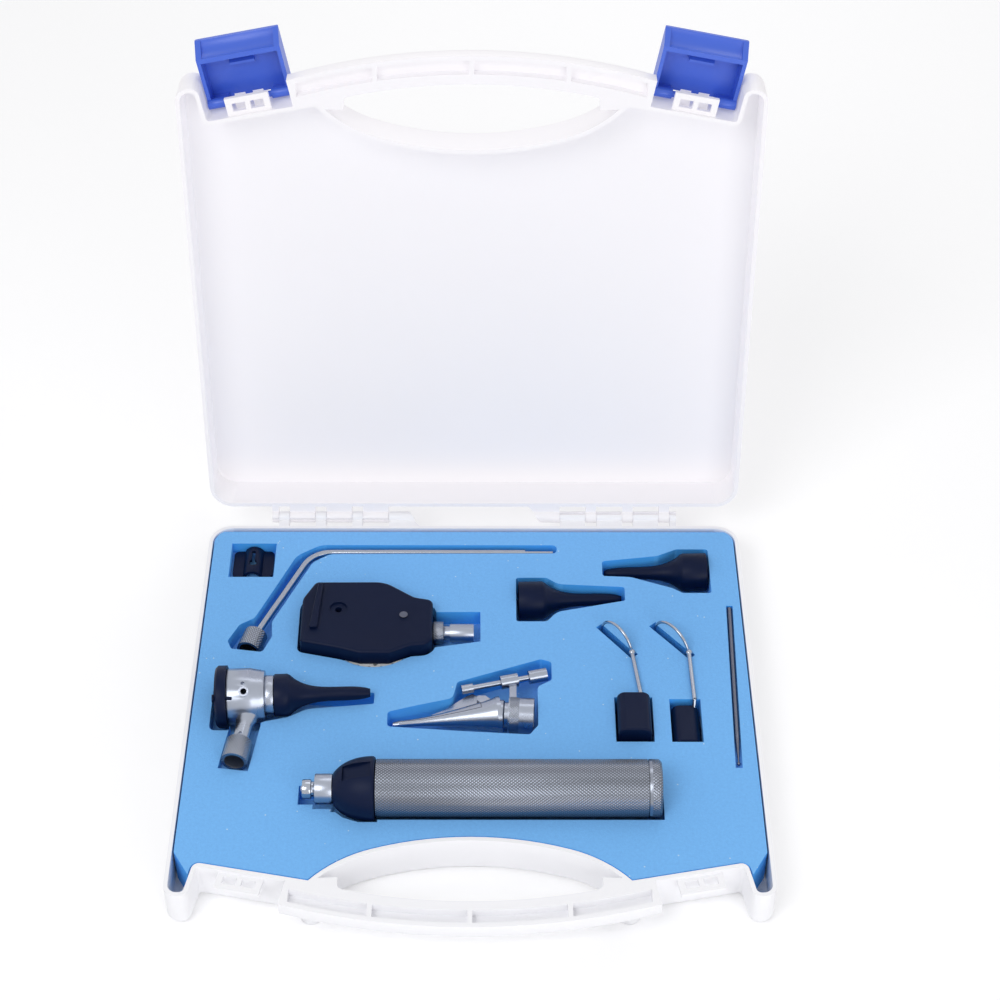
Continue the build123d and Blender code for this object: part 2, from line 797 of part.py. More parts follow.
with BuildPart() as otoscope_body:
    revolve(
        turned(
            otoscope,
            (SIDE_GAP, 0),
            (SIDE_GAP, OTOSCOPE_R),
            (11, OTOSCOPE_R),
            (18.1, OTOSCOPE_FRONT_R),
            (18.1, 0),
        ),
        axis=spin(otoscope),
    )
    revolve(
        turned(stem, (0, 0), (0, STEM_R + 1.6), (5.5, STEM_R), (16, STEM_R), (16, 0)), axis=spin(stem)
    )
    # Air port: a short boss on the head's upper front.
    with BuildSketch(facing_out(otoscope, AIR_PORT_ALONG, AIR_PORT_LEAN, OTOSCOPE_R - 1.5)):
        Circle(AIR_PORT_R)
    extrude(amount=2.3)
    revolve(
        turned(otoscope, (0, 0), (0, 9), (3.6, 9), (3.6, 11.3), (15.4, 11.3), (15.4, 3), (19, 3), (19, 0)),
        axis=spin(otoscope),
        mode=Mode.SUBTRACT,
    )
    revolve(
        turned(pivot_plane, (0, 0), (0, LENS_PIN_R), (3, LENS_PIN_R), (3, 0)),
        axis=spin(pivot_plane),
        mode=Mode.SUBTRACT,
    )
    with BuildSketch(facing_out(otoscope, AIR_PORT_ALONG, AIR_PORT_LEAN, 8)):
        Circle(AIR_BORE_R)
    extrude(amount=OTOSCOPE_R, mode=Mode.SUBTRACT)
    with BuildSketch(facing_out(otoscope, AIR_PORT_ALONG - 0.5, VENT_LEAN, OTOSCOPE_R - 1.5)):
        Circle(VENT_R)
    extrude(amount=3, mode=Mode.SUBTRACT)
    with BuildSketch(facing_out(stem, 13.2, 0, STEM_R - 0.8)):
        Circle(VENT_R)
    extrude(amount=3, mode=Mode.SUBTRACT)
finish(otoscope_body, "otoscope_body")

with BuildPart() as otoscope_nose:
    revolve(
        turned(
            otoscope, (18.1, 3), (18.1, 10), (22.5, 10), (22.5, 9), (28.2, 9), (34, 5.2), (34, 2.6), (28, 3)
        ),
        axis=spin(otoscope),
    )
finish(otoscope_nose, "otoscope_nose")

with BuildPart() as otoscope_screw:
    revolve(
        turned(
            pivot_plane,
            (-LENS_FRAME_T - 1, 0),
            (-LENS_FRAME_T - 1, 2.0),
            (-LENS_FRAME_T - 0.2, 2.0),
            (-LENS_FRAME_T - 0.2, LENS_PIN_R),
            (3, LENS_PIN_R),
            (3, 0),
        ),
        axis=spin(pivot_plane),
    )
finish(otoscope_screw, "otoscope_screw")

with BuildPart() as otoscope_socket:
    revolve(
        turned(stem, (16, 0), (16, SOCKET_R), (28, SOCKET_R), (28, 4.8), (18, 4.8), (18, 0)),
        axis=spin(stem),
    )
finish(otoscope_socket, "otoscope_socket")

with BuildPart() as lens_frame:
    frame_front = -LENS_FRAME_T
    revolve(
        turned(
            otoscope,
            (frame_front, LENS_R - 1.2),
            (frame_front, LENS_FRAME_R - 1.2),
            (frame_front + 1.2, LENS_FRAME_R),
            (0, LENS_FRAME_R),
            (0, LENS_R),
            (frame_front + 1.2, LENS_R),
            (frame_front + 1.2, LENS_R - 1.2),
        ),
        axis=spin(otoscope),
    )
    revolve(
        turned(
            pivot_plane,
            (-LENS_FRAME_T - 1, 0),
            (-LENS_FRAME_T - 1, LENS_PIN_R + RUNNING_GAP),
            (1, LENS_PIN_R + RUNNING_GAP),
            (1, 0),
        ),
        axis=spin(pivot_plane),
        mode=Mode.SUBTRACT,
    )
finish(lens_frame, "lens_frame")

with BuildPart() as otoscope_lens:
    revolve(
        turned(otoscope, (-4.3, 0), (-4.3, LENS_R), (-2.4, LENS_R), (-1.6, 5), (-1.4, 0)),
        axis=spin(otoscope),
    )
finish(otoscope_lens, "otoscope_lens")

with BuildPart() as mounted_speculum:
    revolve(speculum_wall(otoscope, 22.8, 10.4, 6.0, 46.2, 2.0), axis=spin(otoscope))
finish(mounted_speculum, "mounted_speculum")

# ================================================================ ophthalmoscope
wheel_gap = 0.4
slot_bottom = HEAD_SPLIT_Z - WHEEL_T / 2 - wheel_gap
slot_top = HEAD_SPLIT_Z + WHEEL_T / 2 + wheel_gap

with BuildPart() as head_back:
    extrude(head_outline(HEAD_BOTTOM_Z), amount=HEAD_SPLIT_Z - HEAD_BOTTOM_Z)
    fillet(head_back.edges().group_by(Axis.Z)[0], 1.6)
    with BuildSketch(Plane.XY.offset(slot_bottom)):
        with Locations(WHEEL_AT):
            Circle(WHEEL_R + wheel_gap)
    extrude(amount=WHEEL_T, mode=Mode.SUBTRACT)
    with BuildSketch(Plane.XY.offset(HEAD_BOTTOM_Z - 1)):
        with Locations(SIGHT_AT):
            Circle(1.8)
    extrude(amount=HEAD_TOP_Z, mode=Mode.SUBTRACT)
finish(head_back, "head_back")

with BuildPart() as head_front:
    extrude(head_outline(HEAD_SPLIT_Z), amount=HEAD_TOP_Z - HEAD_SPLIT_Z)
    fillet(head_front.edges().group_by(Axis.Z)[-1], 1.6)
    with BuildSketch(Plane.XY.offset(HEAD_SPLIT_Z - 1)):
        with Locations(WHEEL_AT):
            Circle(WHEEL_R + wheel_gap)
    extrude(amount=slot_top - HEAD_SPLIT_Z + 1, mode=Mode.SUBTRACT)
    with BuildSketch(Plane.XY.offset(HEAD_SPLIT_Z - 1)):
        with Locations(SIGHT_AT):
            Circle(1.8)
    extrude(amount=HEAD_TOP_Z, mode=Mode.SUBTRACT)
    with BuildSketch(Plane.XY.offset(HEAD_TOP_Z - 1)):
        with Locations(SIGHT_AT):
            Circle(4.5)
    extrude(amount=2, mode=Mode.SUBTRACT)
finish(head_front, "head_front")

with BuildPart() as lens_wheel:
    with BuildSketch(Plane.XY.offset(HEAD_SPLIT_Z - WHEEL_T / 2)):
        with Locations(WHEEL_AT):
            Circle(WHEEL_R)
            Circle(2.5 + RUNNING_GAP, mode=Mode.SUBTRACT)
        with Locations(WHEEL_AT):
            with PolarLocations(LENS_CIRCLE_R, 12, start_angle=153.4):
                Circle(1.3, mode=Mode.SUBTRACT)
            with PolarLocations(WHEEL_R + 0.5, 24, start_angle=160.9):
                Circle(1.1, mode=Mode.SUBTRACT)
    extrude(amount=WHEEL_T)
finish(lens_wheel, "lens_wheel")

with BuildPart() as wheel_axle:
    with BuildSketch(Plane.XY.offset(slot_bottom)):
        with Locations(WHEEL_AT):
            Circle(2.5)
    extrude(amount=slot_top - slot_bottom)
finish(wheel_axle, "wheel_axle")

with BuildPart() as brow_rest:
    extrude(outline_at(HEAD_TOP_Z, (-78.8, 68.6), (-76.0, 68.6), (-77.6, 38.6), (-81.6, 38.6)), amount=2)
    fillet(brow_rest.edges().group_by(Axis.Z)[-1], 0.7)
finish(brow_rest, "brow_rest")

with BuildPart() as head_screw:
    with BuildSketch(Plane.XY.offset(HEAD_TOP_Z)):
        with Locations((-34.8, 47.8)):
            Circle(2.1)
    extrude(amount=0.7)
finish(head_screw, "head_screw")

connector = axial(CONNECTOR_AT, 0)
with BuildPart() as head_collar:
    revolve(turned(connector, (0, 2.2), (0, 5.75), (5.3, 5.75), (5.3, 2.2)), axis=spin(connector))
finish(head_collar, "head_collar")

with BuildPart() as head_connector:
    revolve(
        turned(
            connector,
            (0, 0),
            (0, 2.2),
            (5.3, 2.2),
            (5.3, 3.6),
            (8.5, 3.6),
            (8.5, 4.7),
            (20.4, 4.7),
            (20.4, 3.8),
            (11, 3.8),
            (11, 0),
        ),
        axis=spin(connector),
    )
finish(head_connector, "head_connector")

# ================================================================ nasal speculum
nasal = axial(NASAL_AT, NASAL_HEADING)
nasal_fixed = axial(NASAL_AT, NASAL_BLADE_HEADING)
nasal_screw_plane = axial(NASAL_SCREW_AT, NASAL_SCREW_HEADING)
nasal_hinged = axial((NASAL_AT[0], NASAL_AT[1] + SIDE_GAP, NASAL_AT[2]), NASAL_BLADE_HEADING)


def funnel_half(plane, start):
    """Half profile of the funnel's wall, from a distance along it to its rounded tip."""
    with BuildSketch(plane) as profile:
        with BuildLine():
            outer = Spline(
                (0, NASAL_RING_R),
                (5, 0.84 * NASAL_RING_R),
                (12.6, 0.655 * NASAL_RING_R),
                (27, 0.37 * NASAL_RING_R),
                (37, 0.235 * NASAL_RING_R),
                (NASAL_BLADE_L - 3, 0.2 * NASAL_RING_R),
            )
            Polyline(outer @ 1, (NASAL_BLADE_L, 1.2), (NASAL_BLADE_L, 0.5), (NASAL_BLADE_L - 3, 0.9))
            inner = Spline(
                (NASAL_BLADE_L - 3, 0.9),
                (37, 0.235 * NASAL_RING_R - NASAL_WALL),
                (27, 0.37 * NASAL_RING_R - NASAL_WALL),
                (12.6, 0.655 * NASAL_RING_R - NASAL_WALL),
                (5, 0.84 * NASAL_RING_R - NASAL_WALL),
                (0, NASAL_RING_R - NASAL_WALL),
            )
            Line(inner @ 1, outer @ 0)
        make_face()
        with BuildLine():
            Polyline((start, 0), (start, 20), (-20, 20), (-20, 0), close=True)
        make_face(mode=Mode.SUBTRACT)
    return profile.sketch


with BuildPart() as nasal_body:
    # Socket for the handle.
    revolve(
        turned(
            nasal,
            (-1, 3.8),
            (-1, 7.2),
            (2.5, 7.2),
            (3.2, 6.2),
            (5.1, 6.2),
            (5.1, 8.75),
            (17.4, 8.75),
            (17.4, 7.2),
            (8, 7.2),
            (8, 3.8),
        ),
        axis=spin(nasal),
    )
    # Funnel: a closed ring with its root disc, then the fixed blade.
    revolve(
        turned(nasal_fixed, (-1.2, 3.8), (-1.2, NASAL_RING_R), (0.8, NASAL_RING_R), (0.8, 3.8)),
        axis=spin(nasal_fixed),
    )
    revolve(funnel_half(nasal_fixed, 0), axis=spin(nasal_fixed))
    with BuildSketch(Plane.XY):
        with Locations(Location((NASAL_AT[0], NASAL_AT[1], 0), (0, 0, NASAL_BLADE_HEADING))):
            with Locations((NASAL_RING_L + 50, -50)):
                Rectangle(100, 100)
    extrude(amount=50, mode=Mode.SUBTRACT)
    for tab_z in (WING_BOTTOM_Z - SIDE_GAP - TAB_T, WING_TOP_Z + SIDE_GAP):
        tab = outline_at(tab_z, (9.8, -1.4), (9.5, 0.4), (6.4, 3.2), (2.6, 3.2), (2.2, 0.6), (5.2, -2.3))
        extrude(tab, amount=TAB_T)
    with BuildSketch(Plane.XY.offset(WING_BOTTOM_Z - 1)):
        with Locations(NASAL_PIVOT):
            Circle(NASAL_PIVOT_R)
    extrude(amount=WING_TOP_Z - WING_BOTTOM_Z + 2)
    extrude(box_plan(NASAL_AT[2] - 1, 18.2, 21.6, -0.6, 9.6), amount=5)
    revolve(
        turned(nasal_screw_plane, (19.7, 0), (19.7, 3.4), (28.3, 3.4), (28.3, 0)),
        axis=spin(nasal_screw_plane),
    )
    revolve(
        turned(nasal_screw_plane, (19, 0), (19, 1.4 + RUNNING_GAP), (29, 1.4 + RUNNING_GAP), (29, 0)),
        axis=spin(nasal_screw_plane),
        mode=Mode.SUBTRACT,
    )
finish(nasal_body, "nasal_body")

with BuildPart() as nasal_blade:
    revolve(funnel_half(nasal_hinged, NASAL_RING_L + SIDE_GAP), axis=spin(nasal_hinged))
    with BuildSketch(Plane.XY):
        with Locations(Location((NASAL_AT[0], NASAL_AT[1] + SIDE_GAP, 0), (0, 0, NASAL_BLADE_HEADING))):
            with Locations((50, 50)):
                Rectangle(120, 100)
    extrude(amount=50, mode=Mode.SUBTRACT)
    extrude(
        outline_at(
            WING_BOTTOM_Z,
            (-20.0, -8.3),
            (-13.3, -4.6),
            (-3.1, 3.8),
            (-0.2, 5.5),
            (4.6, 2.9),
            (3.0, -2.4),
            (-3.0, -4.4),
            (-13.0, -7.4),
        ),
        amount=WING_TOP_Z - WING_BOTTOM_Z,
    )
    with BuildSketch(Plane.XY.offset(WING_BOTTOM_Z)):
        with Locations(NASAL_PIVOT):
            Circle(NASAL_EYE_R)
    extrude(amount=WING_TOP_Z - WING_BOTTOM_Z)
    with BuildSketch(Plane.XY.offset(WING_BOTTOM_Z)):
        with Locations(NASAL_PIVOT):
            Circle(NASAL_PIVOT_R + RUNNING_GAP)
    extrude(amount=WING_TOP_Z - WING_BOTTOM_Z, mode=Mode.SUBTRACT)
finish(nasal_blade, "nasal_blade")

with BuildPart() as nasal_screw:
    revolve(
        turned(
            nasal_screw_plane,
            (0, 0),
            (0, 2.3),
            (5.7, 2.3),
            (5.7, 1.4),
            (34, 1.4),
            (34, 3.4),
            (43, 3.4),
            (43, 0),
        ),
        axis=spin(nasal_screw_plane),
    )
finish(nasal_screw, "nasal_screw")

# ================================================================ arm illuminator
arm_socket_plane = axial(ARM_SOCKET_AT, ARM_SOCKET_HEADING)

with BuildPart() as arm_tube:
    with BuildLine(Plane.XY.offset(ARM_Z)) as bend:
        FilletPolyline(ARM_START, (ARM_BEND_X, ARM_Y), (ARM_TIP_X, ARM_Y), radius=ARM_BEND_R)
    with BuildSketch(Plane(origin=bend.line @ 0, z_dir=bend.line % 0)):
        Circle(ARM_R)
    sweep()
finish(arm_tube, "arm_tube")

with BuildPart() as arm_tip:
    with BuildSketch(Plane.YZ.offset(ARM_TIP_X)):
        with Locations((ARM_Y, ARM_Z)):
            Circle(ARM_TIP_R)
    extrude(amount=ARM_TIP_L)
finish(arm_tip, "arm_tip")

with BuildPart() as arm_socket:
    revolve(
        turned(
            arm_socket_plane, (-0.8, 0), (-0.8, 3.2), (0, 6), (11.3, 6), (11.3, 4.6), (1.6, 4.6), (1.6, 0)
        ),
        axis=spin(arm_socket_plane),
    )
    add(arm_tube.part, mode=Mode.SUBTRACT)
finish(arm_socket, "arm_socket")

# ================================================================ throat mirrors
# Each stem runs level over the foam, then enters its holder.
for name, at, disc_r, heading, stem_path, holder, rise in (
    (
        "1",
        MIRROR_1_AT,
        MIRROR_1_R,
        MIRROR_1_HEADING,
        ((82.4, -1.0, MIRROR_STEM_Z), (82.4, -5.0, MIRROR_STEM_Z)),
        (70.4, 86.5, -25.6, -1.4),
        (9.0, 27.0),
    ),
    (
        "2",
        MIRROR_2_AT,
        MIRROR_2_R,
        MIRROR_2_HEADING,
        ((108.2, -2.6, MIRROR_STEM_Z), (108.0, -7.0, 15.5)),
        (97.0, 110.1, -27.0, -4.2),
        (6.5, 20.5),
    ),
):
    disc = axial(at, heading - 90)
    rise_to_stem = MIRROR_STEM_Z - at[2]
    reach = sqrt(disc_r**2 - rise_to_stem**2) - 0.3
    root = (at[0] + reach * cos(radians(heading)), at[1] + reach * sin(radians(heading)), MIRROR_STEM_Z)
    with BuildPart() as mirror_frame:
        with BuildSketch(disc):
            with Locations((0, disc_r - MIRROR_T / 2)):
                Circle(MIRROR_T / 2)
            with Locations((MIRROR_BACK_T / 2 - MIRROR_T / 2, disc_r / 2 - MIRROR_T / 4)):
                Rectangle(MIRROR_BACK_T, disc_r - MIRROR_T / 2)
        revolve(axis=spin(disc))
        with BuildLine() as wire:
            Polyline(root, *stem_path)
        with BuildSketch(Plane(origin=wire.line @ 0, z_dir=wire.line % 0)):
            Circle(MIRROR_STEM_R)
        sweep(transition=Transition.ROUND)
        with Locations(root):
            Sphere(MIRROR_BEAD_R)
    with BuildPart() as mirror_glass:
        revolve(
            turned(
                disc,
                (MIRROR_T / 4, 0),
                (MIRROR_T / 4, disc_r - MIRROR_T / 2),
                (MIRROR_BACK_T - MIRROR_T / 2, disc_r - MIRROR_T / 2),
                (MIRROR_BACK_T - MIRROR_T / 2, 0),
            ),
            axis=spin(disc),
        )
        add(mirror_frame.part, mode=Mode.SUBTRACT)
    with BuildPart() as mirror_holder:
        extrude(box_plan(rise[0], *holder), amount=rise[1] - rise[0])
        fillet(mirror_holder.edges().filter_by(Axis.Y).group_by(Axis.Z)[-1], 4)
        fillet(mirror_holder.edges().filter_by(Axis.Z), 1)
        add(mirror_frame.part, mode=Mode.SUBTRACT)
    finish(mirror_frame, f"mirror_frame_{name}")
    finish(mirror_glass, f"mirror_glass_{name}")
    finish(mirror_holder, f"mirror_holder_{name}")

# ================================================================ loose specula, clip and applicator
with BuildPart() as speculum_1:
    loose = axial(SPECULUM_1_AT, SPECULUM_1_HEADING)
    revolve(speculum_wall(loose, 0, SPECULUM_R, 12, SPECULUM_L, SPECULUM_TIP_R), axis=spin(loose))
finish(speculum_1, "speculum_1")

with BuildPart() as speculum_2:
    loose = axial(SPECULUM_2_AT, SPECULUM_2_HEADING)
    revolve(speculum_wall(loose, 0, SPECULUM_R, 12, SPECULUM_L, SPECULUM_TIP_R), axis=spin(loose))
finish(speculum_2, "speculum_2")

with BuildPart() as clip:
    clip_x, clip_y, clip_z = CLIP_AT
    extrude(box_plan(clip_z, clip_x - 10.4, clip_x + 10.4, clip_y - 9.1, clip_y + 9.1), amount=PLATE_T)
    fillet(clip.edges().filter_by(Axis.Z), 2.5)
    with BuildSketch(Plane.XZ.offset(-clip_y - 9.1)):
        with Locations((clip_x, clip_z)):
            Circle(5.2)
            Circle(5.2 - PLATE_T, mode=Mode.SUBTRACT)
            with Locations((0, -5.2)):
                Rectangle(12, 10.4, mode=Mode.SUBTRACT)
    extrude(amount=18.2)
    with BuildSketch(Plane.XZ.offset(-clip_y - 10)):
        with Locations((clip_x, clip_z)):
            Circle(5.2 - PLATE_T)
    extrude(amount=20, mode=Mode.SUBTRACT)
    with BuildSketch(Plane.XY.offset(clip_z)):
        with Locations((clip_x, clip_y - 2)):
            Circle(2)
        with Locations((clip_x, clip_y + 2)):
            Rectangle(1.8, 8)
    extrude(amount=8, mode=Mode.SUBTRACT)
finish(clip, "clip")

with BuildPart() as applicator:
    rod = axial(ROD_AT, ROD_HEADING)
    with BuildSketch(rod):
        with BuildLine():
            Polyline((0, 0), (0, ROD_R), (86, ROD_R), (98.5, 0.5), (101, 0.5), (101, 0), close=True)
        make_face()
        with BuildLine():
            bead = CenterArc((101.5, 0), ROD_BEAD_R, 0, 180)
            Line(bead @ 1, bead @ 0)
        make_face()
    revolve(axis=spin(rod))
finish(applicator, "applicator")


# ================================================================ foam
def foam_outline(height):
    """Plan of the foam: the inside of the case, cut across its front corners."""
    rear = BACK_Y - WALL - FOAM_BACK_GAP
    front = -CASE_D
    with BuildSketch() as inside:
        add(case_outline())
        offset(amount=-WALL - FOAM_GAP, kind=Kind.INTERSECTION)
    with BuildSketch(Plane.XY.offset(height)) as shape:
        with BuildLine():
            Polyline(
                (0, rear),
                (FOAM_CUT_X + (rear - FOAM_CUT_Y) / FOAM_CUT_SLOPE, rear),
                (FOAM_CUT_X + (front - FOAM_CUT_Y) / FOAM_CUT_SLOPE, front),
                (0, front),
            )
            mirror(about=Plane.YZ)
        make_face()
        add(inside.sketch, mode=Mode.INTERSECT)
    return shape.sketch


def handle_pocket(height):
    """Plan of the battery handle's pocket: it meets the foam's surface a little outside the metal."""
    mid = GRIP_AT[1]
    rise = GRIP_AT[2] - FOAM_TOP_Z
    tube_half = sqrt(TUBE_R**2 - rise**2) + HANDLE_POCKET_GAP
    neck_half = sqrt(NECK_R**2 - rise**2) + HANDLE_POCKET_GAP
    x0, x1 = COLLAR_START - 1, NECK_START - 1
    with BuildSketch(Plane.XY.offset(height)) as shape:
        with BuildLine():
            Polyline(
                (BAYONET_START - 2.2, mid),
                (BAYONET_START - 2.2, mid + BAYONET_R + 1),
                (x0, mid + BAYONET_R + 1),
                (x0, mid + COLLAR_R + 1),
                (x1, mid + COLLAR_R + 1),
                (NECK_START + 5, mid + 0.84 * neck_half),
                (NECK_START + 12, mid + neck_half),
                (TUBE_START + 1, mid + neck_half),
                (TUBE_START + 1, mid + tube_half),
                (CAP_END + 1.2, mid + tube_half),
                (CAP_END + 1.2, mid),
            )
            mirror(about=Plane.XZ.offset(-mid))
        make_face()
    return shape.sketch


DEEP = FOAM_TOP_Z + 1
with BuildPart() as foam_tray:
    extrude(foam_outline(FLOOR), amount=FOAM_TOP_Z - FLOOR)
    # Battery handle, with a trench under its flared neck.
    extrude(handle_pocket(GRIP_AT[2] - TUBE_R - SEAT), amount=DEEP, mode=Mode.SUBTRACT)
    trench_z = GRIP_AT[2] - NECK_R - SEAT
    trench = box_plan(trench_z, NECK_START - 1, TUBE_START + 1, GRIP_AT[1] - 10, GRIP_AT[1] + 10)
    extrude(trench, amount=DEEP, mode=Mode.SUBTRACT)
    # Otoscope: head and ear speculum, then its stem and socket.
    extrude(
        outline_at(
            OTOSCOPE_AT[2] - LENS_FRAME_R - SEAT,
            (-126.6, 12.8),
            (-117.0, 12.8),
            (-116.6, 10.8),
            (-101.0, 11.4),
            (-96.5, 8.6),
            (-88.5, 8.6),
            (-79.8, 4.4),
            (-47.8, 2.4),
            (-47.8, -4.6),
            (-80.2, -8.0),
            (-89.0, -13.2),
            (-100.5, -16.0),
            (-104.0, -18.2),
            (-116.6, -18.2),
            (-117.0, -21.6),
            (-126.6, -21.6),
            radius=[3, 0.8, 0.8, 5, 4, 3, 12, 1, 1, 12, 6, 8, 1.5, 0.8, 0.8, 3],
        ),
        amount=DEEP,
        mode=Mode.SUBTRACT,
    )
    socket_pocket = slot_plan((-110.9, -31.0), STEM_HEADING, 30, 14.6, STEM_AT[2] - SOCKET_R - SEAT)
    extrude(socket_pocket, amount=DEEP, mode=Mode.SUBTRACT)
    # Ophthalmoscope: head, then connector.
    with BuildSketch(Plane.XY.offset(HEAD_BOTTOM_Z - SEAT)):
        add(head_outline(HEAD_BOTTOM_Z - SEAT))
        offset(amount=POCKET_GAP, kind=Kind.INTERSECTION)
        with Locations(WHEEL_AT):
            Circle(WHEEL_R + POCKET_GAP)
    extrude(amount=DEEP, mode=Mode.SUBTRACT)
    connector_pocket = outline_at(
        CONNECTOR_AT[2] - 5.75 - SEAT, (-22, 56.8), (3.6, 56.9), (3.8, 36.6), (-22, 32.1)
    )
    extrude(connector_pocket, amount=DEEP, mode=Mode.SUBTRACT)
    # Nasal speculum.
    extrude(
        outline_at(
            NASAL_AT[2] - 9.05,
            (-41.0, -9.8),
            (-27.0, -5.6),
            (-9.6, -1.0),
            (-7.4, 9.6),
            (33.7, 24.7),
            (39.0, 22.8),
            (39.0, 11.0),
            (32.0, 6.6),
            (32.0, -18.1),
            (27.9, -24.0),
            (-5.7, -21.9),
            (-41.0, -19.0),
            radius=[2, 6, 4, 2, 2, 2, 2, 3, 2, 2, 8, 2],
        ),
        amount=DEEP,
        mode=Mode.SUBTRACT,
    )
    # Arm illuminator.
    extrude(
        outline_at(
            ARM_Z - 6 - SEAT,
            (-122.7, 37.0),
            (-117.6, 48.0),
            (-110.4, 52.6),
            (-92.0, 97.0),
            (-80.0, 104.9),
            (43.2, 104.9),
            (43.2, 98.9),
            (-75.0, 98.3),
            (-83.5, 92.0),
            (-101.5, 49.8),
            (-100.6, 40.0),
            (-104.8, 29.4),
            (-120.5, 31.6),
            radius=[2, 4, 5, 10, 10, 2.5, 2.5, 10, 8, 4, 3, 2, 2],
        ),
        amount=DEEP,
        mode=Mode.SUBTRACT,
    )
    # Loose specula.
    extrude(
        outline_at(
            SPECULUM_1_AT[2] - SPECULUM_R - SEAT,
            (21.8, 81.2),
            (37.5, 81.2),
            (43.5, 76.6),
            (77.4, 74.6),
            (77.4, 65.0),
            (42.4, 57.0),
            (37.3, 50.4),
            (21.8, 50.4),
            radius=[1.5, 3, 8, 1.5, 1.5, 8, 3, 1.5],
        ),
        amount=DEEP,
        mode=Mode.SUBTRACT,
    )
    extrude(
        outline_at(
            SPECULUM_2_AT[2] - SPECULUM_R - SEAT,
            (66.4, 93.2),
            (95.0, 97.0),
            (105.3, 102.0),
            (121.8, 102.0),
            (121.8, 70.4),
            (107.1, 70.4),
            (101.7, 73.9),
            (80.8, 81.8),
            (66.4, 82.5),
            radius=[1.5, 8, 3, 1.5, 1.5, 3, 3, 12, 1.5],
        ),
        amount=DEEP,
        mode=Mode.SUBTRACT,
    )
    # Throat mirrors: a slit for each disc and a block for each holder.
    for at, disc_r, heading in (
        (MIRROR_1_AT, MIRROR_1_R, MIRROR_1_HEADING),
        (MIRROR_2_AT, MIRROR_2_R, MIRROR_2_HEADING),
    ):
        slit = slot_plan(at[:2], heading, 2 * disc_r + 3, 4.4, at[2] - disc_r - SEAT)
        extrude(slit, amount=DEEP, mode=Mode.SUBTRACT)
    extrude(box_plan(9.0 - SEAT, 69.2, 87.7, -28.5, -0.3), amount=DEEP, mode=Mode.SUBTRACT)
    extrude(box_plan(6.5 - SEAT, 96.0, 111.2, -28.6, -1.5), amount=DEEP, mode=Mode.SUBTRACT)
    # Clip and applicator.
    extrude(box_plan(CLIP_AT[2] - SEAT, -126.3, -103.1, 81.6, 106.0), amount=DEEP, mode=Mode.SUBTRACT)
    channel = slot_plan((128.45, 8.4), ROD_HEADING, 106, 3.3, ROD_AT[2] - ROD_R - SEAT)
    extrude(channel, amount=DEEP, mode=Mode.SUBTRACT)
finish(foam_tray, "foam_tray")
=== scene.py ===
"""Carry case standing open with its diagnostic set: finishes, soft foam, fine detail and studio."""

from math import pi, radians

import bpy
from bpy.props import FloatProperty, FloatVectorProperty, PointerProperty
from bpy.types import Operator, Panel, PropertyGroup
from mathutils import Matrix, Vector


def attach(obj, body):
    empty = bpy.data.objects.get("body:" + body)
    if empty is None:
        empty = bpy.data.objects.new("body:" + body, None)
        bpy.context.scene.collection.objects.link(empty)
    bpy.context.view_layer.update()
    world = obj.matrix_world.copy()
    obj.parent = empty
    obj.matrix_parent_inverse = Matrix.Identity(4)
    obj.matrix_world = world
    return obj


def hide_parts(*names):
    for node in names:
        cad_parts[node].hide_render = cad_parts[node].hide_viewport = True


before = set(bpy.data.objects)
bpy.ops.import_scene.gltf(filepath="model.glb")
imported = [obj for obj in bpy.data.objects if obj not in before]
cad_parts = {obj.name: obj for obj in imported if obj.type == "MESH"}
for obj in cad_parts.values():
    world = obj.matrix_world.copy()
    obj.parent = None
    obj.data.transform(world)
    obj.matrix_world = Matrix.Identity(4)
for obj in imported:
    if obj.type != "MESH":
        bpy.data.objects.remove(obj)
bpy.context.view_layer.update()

bl_info = {
    "name": "Diagnostic Carry Case",
    "version": (1, 0, 0),
    "blender": (4, 5, 0),
    "location": "View3D > Sidebar > Case",
    "description": "Finishes and details an open carry case with its diagnostic set",
    "category": "Object",
}


# ------------------------------------------------------------------ fixed values, in metres
WELD = 0.00001  # corners closer than this are one corner
FACET = 1.0  # degrees: facets flatter to each other than this become one face
MOULD_ANGLE, MOULD_SEGMENTS = 35.0, 2  # rounding of moulded edges
FOAM_ANGLE, FOAM_SEGMENTS = 30.0, 3  # rounding of cut foam edges
SMALL_EDGE = 0.0002  # edge radius of the loose black pieces
GRAIN_DEPTH, FOAM_DEPTH = 0.0001, 0.0002  # relief of plastic and of foam

# Axis of each knurled piece: a point on it, its heading in degrees, and the grooves round it.
HANDLE_KNURL = (0, -0.0612, 0.026), 0, 62
OTOSCOPE_KNURL = (-0.1086, -0.0152, 0.0235), -97.7, 30
COLLAR_KNURL = (-0.0201, 0.045, 0.0185), 0, 28
NASAL_KNURL = (0.0126, -0.0072, 0.0165), -3.6, 44
ARM_KNURL = (-0.1092, 0.0438, 0.0186), -105, 28
# Band of the knurl: where it starts and ends along the axis, and how far out it goes.
WHOLE = (-1.0, 1.0, 1.0)
CAP_BAND = (0.0842, 0.1, 1.0)
NASAL_BAND = (0.0057, 0.0103, 0.0092)
NASAL_PITCH = 0.0013
KNURL_DEPTH = 0.0003
KNURL_ROUGH, NASAL_ROUGH = 0.24, 0.27
HANDLE_TONE = 0.76  # of the satin metal, on the handle

BRIGHT = (0.38, 0.41, 0.47)
# Steel painted dark: painted shade on the head screw in its pit, and painted dark reflection on the
# applicator.
SHADE_PAINTED_STEEL = (0.13, 0.14, 0.18)
CELL_SLEEVE = (0.02, 0.02, 0.03)
SILVER = (0.9, 0.9, 0.9)
GLASS = (0.9, 0.94, 0.95)
DIAL_WHITE = (0.8, 0.8, 0.8)
SPECK = (0.62, 0.78, 0.92, 1)
# Painted light: a faint glow of its own on the frosted lid, standing in for the light that passes
# through it.
LID_PAINTED_GLOW, LID_PAINTED_GLOW_STRENGTH = (0.96, 0.94, 1.0, 1), 0.22

